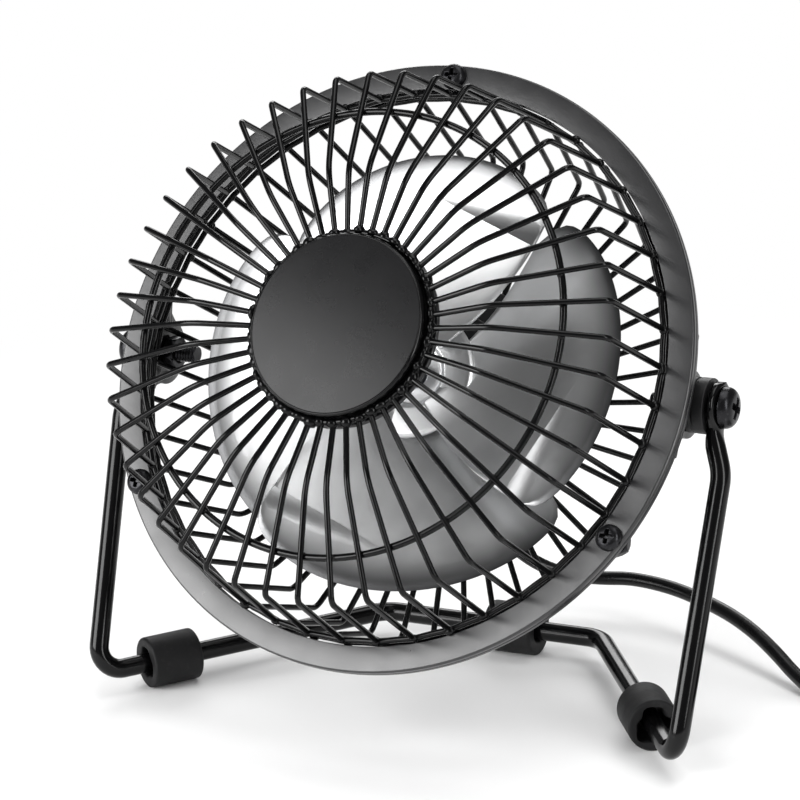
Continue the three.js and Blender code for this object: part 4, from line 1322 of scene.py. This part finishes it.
@dataclass
class Stand:
    """The bent wire with flattened eyes, and the three rubber sleeves that it stands on."""

    wire: float = 2.2
    pivot_above_wire: float = 69.0
    front_half_width: float = 70.7
    front_ahead: float = 27.8
    rear_half_width: float = 27.5
    depth: float = 60.3
    leg_half_width: float = 73.6
    neck_below: float = 6.6
    shoulder_below: float = 13.0
    eye_from_middle: float = 70.5
    eye_radius: float = 5.4
    eye_half_thickness: float = 1.1
    foot_radius: float = 5.85
    foot_length: float = 12.0
    left_along: float = 18.3
    right_along: float = 25.2
    rear_from_middle: float = 6.0
    right_torn: float = 1.9
    left_torn: float = 1.1
    rear_torn: float = 0.2

    def corner(self, side: int) -> np.ndarray:
        """A front corner of the base, where the rod's straight runs would meet."""
        return np.array([side * self.front_half_width, PIVOT[1] - self.front_ahead, self.foot_radius])

    def rod(self) -> np.ndarray:
        """The rod's centreline, from one eye's end to the other's.

        Returns:
            The points, in millimetres.
        """
        top = np.array([self.leg_half_width, PIVOT[1], PIVOT[2]])
        front = self.corner(1)
        shoulder = top + (front - top) * self.shoulder_below / self.pivot_above_wire
        neck_y = PIVOT[1] + (shoulder[1] - PIVOT[1]) * self.neck_below / self.shoulder_below
        neck = np.array([self.eye_from_middle, neck_y, PIVOT[2] - self.neck_below])
        eye = np.array([self.eye_from_middle, PIVOT[1], PIVOT[2]])
        beyond = eye + (eye - neck) / np.linalg.norm(eye - neck) * self.eye_radius
        rear = np.array([self.rear_half_width, PIVOT[1] + self.depth - self.front_ahead, self.foot_radius])
        right = [beyond, neck, shoulder, front, rear]
        left = [p * np.array([-1, 1, 1]) for p in right][::-1]
        return bent([*right, *left], [10, 12, 5, 7, 7, 5, 12, 10], 12, 0.6)

    def frame(self) -> bpy.types.Object:
        """The rod, whose round section turns into a flat, round-ended eye at each end.

        Near an end, the section's thickness falls to the eye's and its width grows from the wire's
        to that of a disc about the tilt axis.

        Returns:
            The piece.
        """
        sides, reach = 28, 30
        line = self.rod()
        along = distances(line)
        from_end = np.minimum(along, along[-1] - along)
        flat = 1 - smooth_step(from_end, self.eye_radius + 2.5, self.eye_radius + 9)
        disc = np.sqrt(np.clip(self.eye_radius**2 - (from_end - self.eye_radius) ** 2, 0.0001, None))
        neck = self.wire * 1.25
        disc_end = 2 * self.eye_radius - 0.6
        past = smooth_step(from_end, self.eye_radius, disc_end)
        width = np.where(from_end < self.eye_radius, disc, disc * (1 - past) + np.maximum(disc, neck) * past)
        width = np.where(from_end < disc_end, width, neck)
        across = self.wire * (1 - flat) + self.eye_half_thickness * flat
        wide = self.wire * (1 - flat) + width * flat
        tangent = np.gradient(line, axis=0)
        tangent /= np.linalg.norm(tangent, axis=1)[:, None]
        sideways = np.array([1.0, 0, 0]) - tangent * tangent[:, :1]
        other = np.cross(tangent, sideways)
        near = from_end < reach
        angle = np.linspace(0, 2 * np.pi, sides, endpoint=False)
        square = 1 + 0.14 * flat[:, None] * np.abs(np.sin(2 * angle)) ** 1.5
        plain = tube(line, self.wire, sides).points[: len(line) * sides].reshape(len(line), sides, 3)
        sideways[near] /= np.linalg.norm(sideways[near], axis=1)[:, None]
        other[near] /= np.linalg.norm(other[near], axis=1)[:, None]
        ring = (
            sideways[:, None] * (across[:, None] * np.cos(angle) * square)[..., None]
            + other[:, None] * (wide[:, None] * np.sin(angle) * square)[..., None]
        )
        eyes = line[:, None] + ring
        head = np.argmax(~near)
        tail = len(line) - np.argmax(~near[::-1])
        middle = Shell.grid(plain[head - 1 : tail + 1])
        ends = [Shell.grid(eyes[: head + 1]), Shell.grid(eyes[tail - 1 :])]
        piece = Shell.joined(middle, *ends).piece("bent_wire_stand", ROW)
        return settle(piece, "stand", Finishes.STAND_ENAMEL, "black_paint", "stand_frame")

    def foot(self, name: str, node: str, place: Place, torn: float) -> bpy.types.Object:
        """A thick rubber sleeve on the wire.

        Args:
            name: the piece's name.
            node: the CAD foot that it stands for.
            place: its middle, with Y along the wire.
            torn: how far the bore's front mouth widens into uneven lobes.

        Returns:
            The piece.
        """
        half, outer, bore = self.foot_length / 2, self.foot_radius, self.wire + 0.25
        profile = rounded(
            [(bore + 0.5, 0), (bore, -half + 1.2), (bore + 0.25, -half), (outer, -half), (outer, half),
             (bore + 0.2, half), (bore, half - 1.2), (bore + 0.5, 0)], 0.75, 6)[:-1]
        angle = np.linspace(0, 2 * np.pi, 96, endpoint=False)
        r = profile[:, :1] + 0 * angle
        y = profile[:, 1:] + 0 * angle
        mouth = (1 - smooth_step(y, -half + 1.5, -half + 6)) * (1 - smooth_step(r, bore, outer - 1.2))
        lobes = 0.72 + 0.3 * np.cos(3 * angle + 1.2) + 0.14 * np.sin(7 * angle)
        points = round_y(r + torn * mouth * lobes, y, angle)
        piece = Shell.grid(points, closed_u=True).piece(name, place, 50)
        return settle(piece, "stand", Finishes.FOOT_RUBBER, "black_rubber", node)

    def build(self) -> None:
        """The frame and the feet."""
        self.frame()
        right = ("right", 1, self.right_along, self.right_torn)
        left = ("left", -1, self.left_along, self.left_torn)
        for word, side, along, torn in (right, left):
            rail = np.array([side * (self.rear_half_width - self.front_half_width), self.depth, 0])
            rail /= np.linalg.norm(rail)
            axes = np.stack([np.cross(rail, [0, 0, 1]), rail, [0, 0, 1]], axis=1)
            spot = Place(self.corner(side) + rail * along, axes)
            self.foot(f"front_{word}_foot", f"foot_front_{word}", spot, torn)
        rear = np.array([self.rear_from_middle, PIVOT[1] + self.depth - self.front_ahead, self.foot_radius])
        self.foot("rear_foot", "foot_rear", Place(rear, X_AXIS_IS_Y.T), self.rear_torn)


# ---- Head ------------------------------------------------------------------------------------------


@dataclass
class Rings:
    """The two pressed pans, back to back, with the screws and nuts that hold them."""

    outer: float = 68.0
    inner: float = 62.3
    sheet: float = 0.8
    lip: float = 1.4
    depth: float = 3.1
    screw_circle: float = 65.2
    screw_angles: tuple = (90, 210, 330)

    def pan(self, name: str, node: str, face: float, inward: float) -> bpy.types.Object:
        """A pan: a flat sheet whose rim is rolled towards the other pan, with a shallow inner bead.

        Args:
            name: the piece's name.
            node: the CAD pan that it stands for.
            face: the y of its outer face.
            inward: the direction of the other pan.

        Returns:
            The piece.
        """
        back, lip = face + inward * self.sheet, face + inward * self.lip
        profile = [
            (self.inner, back + inward * 0.25), (self.inner, face), (self.outer - 0.35, face),
            (self.outer, face + inward * 0.35), (self.outer, lip), (self.outer - self.sheet, lip),
            (self.outer - self.sheet - 0.3, back), (self.inner + self.sheet, back),
        ]
        piece = turned(profile, 256, 0.15, closed=True).piece(name, HEAD, 60)
        return settle(piece, "head", Finishes.PAN_ENAMEL, "black_paint", node)

    def fasteners(self) -> None:
        """The pan screws, each with a cross recess, and their nuts."""
        head = pan_head(2.9, 1.9, 1.6)
        shank = threaded(1.5, 0.1, 6.2, 0.5)
        for i, angle in enumerate(np.radians(self.screw_angles)):
            spot = HEAD.moved(self.screw_circle * np.cos(angle), 0, self.screw_circle * np.sin(angle))
            screw = Shell.joined(head, shank).piece(f"pan_screw_{i + 1}", spot)
            settle(screw, "head", Finishes.OXIDE_STEEL, "dark_steel", f"ring_screw_{i + 1}")
            nut = hexagon_nut(5.5, 1.55, self.depth + 0.3, self.depth + 2.6).piece(f"pan_nut_{i + 1}", spot)
            settle(nut, "head", Finishes.OXIDE_STEEL, "dark_steel", f"ring_nut_{i + 1}")

    def build(self) -> None:
        """Both pans and their fasteners."""
        self.pan("front_pan", "front_ring", 0, 1)
        self.pan("rear_pan", "rear_ring", self.depth, -1)
        self.fasteners()


@dataclass
class Guards:
    """The front and rear wire cages, welded from spokes and hoops."""

    wires: int = 46
    phase: float = 90.3
    wire: float = 0.66
    hoop: float = 0.8
    edge: float = 61.25
    front: tuple = ((20.6, -28.6), (34.7, -30.2), (58.0, -23.55), (61.25, 0.1))
    front_bends: tuple = (14, 2.2)
    middle_hoop: tuple = (48.6, -25.0)
    rear: tuple = ((61.25, 3.0), (55.6, 28.3), (24.2, 32.5))
    rear_bends: tuple = (2.2,)
    rear_hoop: tuple = (24.2, 32.5)

    def angles(self) -> np.ndarray:
        """The spokes' angles."""
        return np.radians(self.phase) + np.arange(self.wires) * 2 * np.pi / self.wires

    def spokes(self, stations: tuple, bends: tuple) -> Shell:
        """Bent wires in planes through the axis.

        Args:
            stations: the (radius, y) corners of one wire.
            bends: the radius of each bend.

        Returns:
            All the wires as one surface.
        """
        line = bent([(r, y, 0) for r, y in stations], list(bends), 8, 3.5)
        return tube(line, self.wire, 10).repeated(self.angles())

    def hoop_at(self, radius: float, y: float, wire: float, scallop: float = 0.0) -> Shell:
        """A hoop of wire, drawn inwards between its spokes.

        Args:
            radius: the hoop's radius at a spoke.
            y: its place along the axis.
            wire: the wire's radius.
            scallop: how far it is drawn in, as the size of a sine between two spokes.

        Returns:
            The surface.
        """
        angle = np.linspace(0, 2 * np.pi, 4 * self.wires, endpoint=False)
        between = np.abs(np.sin((angle - np.radians(self.phase)) * self.wires / 2))
        return tube(round_y(radius - scallop * between, y, angle), wire, 10, closed=True)

    def beads(self, radius: float, y: float, size: float, seed: int) -> Shell:
        """Weld beads at each spoke: lumps with a smooth, uneven radius.

        Args:
            radius: their distance from the axis.
            y: their place along the axis.
            size: their mean radius.
            seed: the number that fixes their unevenness.

        Returns:
            All the beads as one surface.
        """
        rng = np.random.default_rng(seed)
        polar = np.linspace(0.15, np.pi - 0.15, 7)[:, None]
        around = np.linspace(0, 2 * np.pi, 10, endpoint=False)
        unit = round_y(np.sin(polar), np.cos(polar), around)
        lumps = []
        for angle in self.angles():
            stretch = rng.uniform(0.75, 1.25, 3) * np.array([1.0, 1.1, 1.35]) * size
            shift = rng.uniform(-0.35, 0.35, 3) * size
            lump = Shell.grid(unit * stretch + np.array([radius, y, 0]) + shift)
            lumps.append(lump.repeated(np.array([angle])))
        return Shell.joined(*lumps)

    def front_cage(self) -> bpy.types.Object:
        """The front cage: spokes, hub hoop, middle hoop, rim hoop and weld beads.

        Returns:
            The piece.
        """
        parts = [
            self.spokes(self.front, self.front_bends),
            self.hoop_at(*self.front[0], self.hoop),
            self.hoop_at(*self.middle_hoop, self.hoop),
            self.hoop_at(self.edge, 0.2, self.wire, 0.25),
            self.beads(self.front[0][0] + 0.1, self.front[0][1] - 0.1, 1.15, 1),
            self.beads(self.middle_hoop[0], self.middle_hoop[1] - 0.3, 0.72, 2),
            self.beads(self.edge + 0.1, -0.2, 0.85, 3),
        ]
        piece = Shell.joined(*parts).piece("front_wire_cage", HEAD, 70)
        return settle(piece, "head", Finishes.WIRE_ENAMEL, "black_wire", "front_guard")

    def rear_cage(self) -> bpy.types.Object:
        """The rear cage: spokes, rim hoop, hub hoop and weld beads.

        Returns:
            The piece.
        """
        parts = [
            self.spokes(self.rear, self.rear_bends),
            self.hoop_at(self.edge, 2.9, self.wire, 0.25),
            self.hoop_at(*self.rear_hoop, self.hoop),
            self.beads(self.edge + 0.1, 3.3, 0.85, 4),
            self.beads(self.rear_hoop[0], self.rear_hoop[1], 0.9, 5),
        ]
        piece = Shell.joined(*parts).piece("rear_wire_cage", HEAD, 70)
        return settle(piece, "head", Finishes.WIRE_ENAMEL, "black_wire", "rear_guard")

    def build(self) -> None:
        """Both cages."""
        self.front_cage()
        self.rear_cage()


@dataclass
class Cap:
    """The round cap on the front cage, with the plate and rivet behind it."""

    face: float = -31.4
    face_radius: float = 19.3
    rim_radius: float = 19.9
    back: float = -29.75
    sheet: float = 1.0

    def build(self) -> None:
        """The cap: a flat face in a rounded, turned-in rim."""
        edge, sheet_back = self.face_radius, self.face + self.sheet
        disc = [(0.01, self.face), (edge, self.face), (edge, sheet_back), (0.01, sheet_back)]
        face = turned(disc, 160, 0.15).piece("front_hub_cap", HEAD, 60)
        settle(face, "head", Finishes.CAP_ENAMEL, "black_paint", "front_cap")
        hoop = [
            (edge + 0.02, self.face + 0.1), (self.rim_radius - 0.35, self.face + 0.1),
            (self.rim_radius, self.face + 0.5), (self.rim_radius, self.back), (18.9, self.back + 0.1),
            (18.9, self.back + 2.2), (17.9, self.back + 2.2), (17.9, sheet_back + 0.05),
            (edge + 0.02, sheet_back + 0.05),
        ]
        rim = turned(hoop, 160, 0.3, closed=True).piece("front_hub_cap_rim", HEAD, 60)
        settle(rim, "head", Finishes.WIRE_ENAMEL, "black_paint")
        disc = [(2.4, -26.4), (21.0, -26.4), (21.3, -26.1), (21.3, -25.4), (2.4, -25.4)]
        plate = turned(disc, 96, 0.2, closed=True).piece("cap_backing_plate", HEAD)
        settle(plate, "head", Finishes.PAN_ENAMEL, "black_paint", "hub_plate")
        dress_node("cap_rivet", Finishes.BRIGHT_STEEL)


@dataclass
class Pivots:
    """The brackets behind the pans, the spacers, and the screws and nuts on the tilt axis."""

    inner_face: float = 63.0
    sheet: float = 1.2
    base_half: float = 13.5
    base_corner: float = 4.0
    base_depth: float = 5.5
    tongue_half: float = 7.4
    pan_back: float = 3.4
    spacer_radius: float = 6.0
    spacer_groove: float = 0.25
    spacer_end: float = 69.1
    head_seat: float = 71.9
    screw_radius: float = 2.0
    screw_tip: float = 55.5
    nut_flats: float = 7.0
    nut_tip: float = 60.2
    nut_seat: float = 62.7

    def outline(self) -> np.ndarray:
        """The bracket's outline: a wide foot with round corners, and a tongue round the pivot.

        Returns:
            The points: the distance behind the pan's face, and the height along the face.
        """
        corner, half, foot_end = self.base_corner, self.base_half, self.pan_back + self.base_depth
        quarter = np.linspace(0, np.pi / 2, 8)
        round_end = np.linspace(-np.pi / 2, np.pi / 2, 25)
        lower = np.stack(
            [foot_end - corner + corner * np.sin(quarter), -half + corner - corner * np.cos(quarter)], -1)
        tongue = self.tongue_half * np.stack([np.cos(round_end), np.sin(round_end)], -1)
        tongue = tongue + np.array([FACE_AHEAD_OF_PIVOT, 0])
        beside = np.array([[foot_end + 0.5, self.tongue_half + 1.2]])
        end = np.array([[self.pan_back, half]])
        over = np.array([1, -1])
        return np.concatenate([end * over, lower, beside * over, tongue, beside, lower[::-1] * over, end])

    def outwards(self, side: int) -> np.ndarray:
        """The axes, in terms of the head's, of a place with Y outwards on that side."""
        return np.array([[0, side, 0], [1, 0, 0], [0, 0, -side]], float)

    def bracket(self, word: str, side: int) -> bpy.types.Object:
        """A bracket plate with its foot against the pan.

        Args:
            word: the side's name.
            side: 1 on the right and -1 on the left.

        Returns:
            The piece.
        """
        plate = slab(self.outline(), self.inner_face, self.inner_face + self.sheet, 0.25)
        against_pan = np.array([self.pan_back + self.sheet / 2, 0])
        foot_line = rounded_box(self.sheet, 2 * self.base_half, 0.4, 3) + against_pan
        foot = slab(foot_line, self.inner_face, self.inner_face + 3.2, 0.2)
        piece = Shell.joined(plate, foot).piece(f"{word}_bracket", HEAD.turned(self.outwards(side)))
        return settle(piece, "head", Finishes.STAND_ENAMEL, "black_paint", f"pivot_bracket_{word}")

    def hardware(self, word: str, side: int) -> None:
        """The spacer, the screw and the nut on one side of the tilt axis.

        Args:
            word: the side's name.
            side: 1 on the right and -1 on the left.
        """
        place = Place(PIVOT, HEAD_AXES).turned(self.outwards(side))
        low, high = self.inner_face + self.sheet + 0.3, self.spacer_end
        bore, outer, groove = 2.35, self.spacer_radius, self.spacer_radius - self.spacer_groove
        sleeve = [
            (bore, low), (outer, low), (outer, low + 1.5), (groove, low + 1.65), (groove, low + 1.9),
            (outer, low + 2.05), (outer, high), (bore, high),
        ]
        spacer = turned(sleeve, 64, 0.2, closed=True).piece(f"{word}_spacer", place)
        settle(spacer, "head", Finishes.MOULDED, "black_plastic", f"pivot_spacer_{word}")
        seat = np.array([0, self.head_seat, 0])
        head = pan_head(4.5, 2.7, 2.4).mapped(lambda p: p * np.array([1, -1, 1]) + seat)
        shank = threaded(self.screw_radius, self.screw_tip, self.head_seat + 0.05)
        screw = Shell.joined(head, shank).piece(f"{word}_pivot_bolt", place)
        settle(screw, "head", Finishes.OXIDE_STEEL, "dark_steel", f"pivot_screw_{word}")
        nut = hexagon_nut(self.nut_flats, self.screw_radius + 0.05, self.nut_tip, self.nut_seat)
        nut_piece = nut.piece(f"{word}_pivot_hex_nut", place)
        settle(nut_piece, "head", Finishes.OXIDE_STEEL, "dark_steel", f"pivot_nut_{word}")

    def build(self) -> None:
        """Both sides' brackets and hardware."""
        for word, side in (("right", 1), ("left", -1)):
            self.bracket(word, side)
            self.hardware(word, side)


@dataclass
class Impeller:
    """Four pressed aluminium blades on a dished disc."""

    blades: int = 4
    first_angle: float = -5.0
    middle: float = 9.5
    root: float = 9.0
    tip: float = 49.0
    half_angle: float = 50.0
    root_width: float = 0.97
    petal: float = 0.055
    corner: float = 0.16
    sweep: float = 0.25
    root_depth: float = 8.0
    tip_depth: float = 13.0
    camber: float = 2.2
    curl: float = 0.004
    curl_from: float = 37.0
    sheet: float = 0.7

    def blade(self, first: float) -> Shell:
        """One blade, as two skins over the same outline.

        Outwards is u and along the chord is v. The angle is the chord's half-angle times v, a little
        less near the root, and swept on by u; the depth falls across the chord by the pitch, and the
        camber bows it. The tip's radius shrinks with the fourth power of v, so that the blade is a
        petal, and with the 24th, which rounds its corners. Beyond a radius the sheet curls forward
        with the square of the distance, and its thickness is rounded off within a fortieth of an edge.

        Args:
            first: the blade's angle, in radians.

        Returns:
            The closed surface.
        """
        u = np.linspace(0, 1, 40)[:, None]
        v = np.linspace(-1, 1, 48)[None, :]
        rim = self.tip * (1 - self.petal * v**4 - self.corner * v**24)
        radius = self.root + u * (rim - self.root)
        chord = self.root_width + (1 - self.root_width) * np.sin(u * np.pi * 0.75)
        angle = first + np.radians(self.half_angle) * v * chord + self.sweep * u
        depth = self.root_depth + u * (self.tip_depth - self.root_depth)
        y = self.middle + v * depth / 2 - self.camber * (1 - v * v) * u
        y = y - self.curl * np.clip(radius - self.curl_from, 0, None) ** 2
        inset = np.clip(np.minimum(1 - u, 1 - np.abs(v)) * 40, 0, 1)
        half = self.sheet / 2 * np.sqrt(np.clip(1 - (1 - inset) ** 2, 0.02, 1))
        front, rear = (round_y(radius, y + sign * half, angle) for sign in (1, -1))
        return Shell.grid(np.concatenate([front, rear[:, ::-1]], axis=1))

    def build(self) -> None:
        """The blades with their disc, and the hub's finish."""
        angles = np.radians(self.first_angle) + np.arange(self.blades) * 2 * np.pi / self.blades
        profile = [
            (3.4, 9.1), (6.8, 9.1), (7.6, 8.3), (13.6, 8.3), (14.4, 9.0), (14.4, 9.6), (13.6, 9.0),
            (7.8, 9.0), (7.0, 9.9), (3.4, 9.9),
        ]
        disc = turned(profile, 96, 0.4, closed=True)
        piece = Shell.joined(disc, *(self.blade(a) for a in angles)).piece("pressed_blades", HEAD, 60)
        settle(piece, "rotor", Finishes.BLADE_ALUMINIUM, "aluminium", "impeller")
        dress_node("blade_hub", Finishes.BRIGHT_STEEL)
        dress_node("motor_shaft", Finishes.BRIGHT_STEEL)
        dress_node("armature", Finishes.COPPER)


@dataclass
class MotorUnit:
    """The motor and its housing in the middle of the rear cage, the cover, the switch and screws."""

    cover_radius: float = 26.0
    cover_front: float = 33.9
    cover_rear: float = 45.5
    cover_wall: float = 1.7
    vent_depth: float = 0.8
    vents: int = 12
    rocker_above: float = 17.6
    rocker_tip: float = 8.0
    screw_circle: float = 21.0
    screw_angles: tuple = (30, 150, 270)

    def housing(self) -> None:
        """The stepped front housing."""
        profile = [
            (4.3, 22.6), (18.0, 22.6), (18.0, 29.9), (26.0, 29.9), (26.0, 31.3), (16.5, 31.3),
            (16.5, 24.1), (4.3, 24.1),
        ]
        piece = turned(profile, 128, 0.5, closed=True).piece("motor_shroud", HEAD)
        settle(piece, "head", Finishes.MOULDED, "black_plastic", "motor_housing")

    def cover(self) -> None:
        """The rear cover: a cup whose back dips in a ring of slots, as vents.

        The slots are where a cosine round the axis is high, between two radii with soft edges. The
        switch and the strain relief stand on the back's plain parts.
        """
        r_edge, front, rear = self.cover_radius, self.cover_front, self.cover_rear
        floor = rear - self.cover_wall
        outer = [(24.3, front), (r_edge, front), (r_edge, rear - 3), (r_edge - 3, rear), (0.01, rear)]
        inner = [(0.01, floor), (23.0, floor), (24.3, floor - 1.5), (24.3, front)]
        profile = rounded(outer, 1.2, 8)
        flat = np.linspace(profile[-2][0], 0.01, 40)[1:]
        back = np.stack([flat, np.full(len(flat), rear)], -1)
        profile = np.concatenate([profile[:-1], back, rounded(inner, 0.6, 4)[:-1]])
        angle = np.linspace(0, 2 * np.pi, 192, endpoint=False)
        r = profile[:, :1] + 0 * angle
        y = profile[:, 1:] + 0 * angle
        on_back = (y > rear - 0.01) & (r < 22.5)
        ring = smooth_step(r, 4.5, 5.2) * (1 - smooth_step(r, 10.0, 10.7))
        slots = smooth_step(np.cos(angle * self.vents), 0.1, 0.5)
        points = round_y(r, np.where(on_back, y - self.vent_depth * ring * slots, y), angle)
        piece = Shell.grid(points, closed_u=True).piece("rear_cup", HEAD, 35)
        settle(piece, "head", Finishes.MOULDED, "black_plastic", "rear_cover")

    def switch(self) -> None:
        """The switch's bezel: a raised frame round a sunk well."""
        seat, face = self.cover_rear + 0.05, self.cover_rear + 1.4
        outside = rounded_box(14.6, 9.8, 1.2, 6)
        well = rounded_box(11.9, 7.0, 0.4, 6)
        eased = [(outside, seat), (outside, face - 0.3), (outside * 0.97, face)]
        levels = [*eased, (well, face), (well, face - 5)]
        bezel = Shell.grid(stacked(levels)).piece("switch_bezel", HEAD.moved(z=self.rocker_above))
        settle(bezel, "head", Finishes.MOULDED, "black_plastic", "switch_body")

    def rocker(self) -> None:
        """The rocker key: its top is two planes that meet in a soft valley, tipped as it rests."""
        half, keel, depth = 5.3, 1.2, 1.8
        x = np.linspace(-half, half, 41)
        top = 2.1 + 0.5 * smooth_step(np.abs(x), 0, half) - 0.35 * smooth_step(np.abs(x), 4.7, half)
        bottom = np.where(np.abs(x) < keel, -depth, -depth + 1.5 * (np.abs(x) - keel) / (half - keel))
        section = np.concatenate([np.stack([x, top], -1), np.stack([x, bottom], -1)[::-1]])
        z = np.array([-3.2, -3.05, -2.8, 2.8, 3.05, 3.2])
        inset = np.array([0.9, 0.965, 1, 1, 0.965, 0.9])
        outlines = section[None] * inset[:, None, None]
        points = np.concatenate([outlines, np.broadcast_to(z[:, None, None], (len(z), len(section), 1))], -1)
        c, s = np.cos(np.radians(self.rocker_tip)), np.sin(np.radians(self.rocker_tip))
        turn = np.array([[c, -s, 0], [s, c, 0], [0, 0, 1]])
        place = Place(np.array(joint("switch_rock")["pos_m"]) / MM, HEAD_AXES).turned(turn)
        piece = Shell.grid(points).piece("rocker_key", place)
        settle(piece, "rocker", Finishes.ROCKER_GLOSS, "black_plastic", "rocker")

    def screws(self) -> None:
        """The cover's three screws, their heads on the back."""
        head = pan_head(2.3, 1.5, 1.3).mapped(lambda p: p * np.array([1, -1, 1]))
        shank = threaded(1.2, -15.4, 0.1, 0.5)
        for i, angle in enumerate(np.radians(self.screw_angles)):
            x, z = self.screw_circle * np.cos(angle), self.screw_circle * np.sin(angle)
            spot = HEAD.moved(x, self.cover_rear + 0.02, z)
            screw = Shell.joined(head, shank).piece(f"cover_bolt_{i + 1}", spot)
            settle(screw, "head", Finishes.OXIDE_STEEL, "dark_steel", f"cover_screw_{i + 1}")

    def build(self) -> None:
        """The whole unit."""
        self.housing()
        self.cover()
        self.switch()
        self.rocker()
        self.screws()
        inside = {
            Finishes.BRIGHT_STEEL: ("motor_can", "motor_screw_1", "motor_screw_2"),
            Finishes.HUB_BRASS: ("bush_front", "bush_rear"),
            Finishes.MAGNET: ("magnet_right", "magnet_left"),
            Finishes.MOULDED: ("motor_end_cap",),
        }
        for finish, nodes in inside.items():
            for node in nodes:
                dress_node(node, finish)


def main() -> None:
    """Builds the scene: the studio, the plug and the lead, and then the stand and the head."""
    logging.basicConfig(level=logging.INFO, format="%(name)s: %(message)s")
    Studio().build()
    Lead().build(Plug().build())
    for part in (Stand(), Rings(), Guards(), Cap(), Pivots(), Impeller(), MotorUnit()):
        part.build()
        LOG.info("%s built", type(part).__name__)


if __name__ == "__main__":
    main()
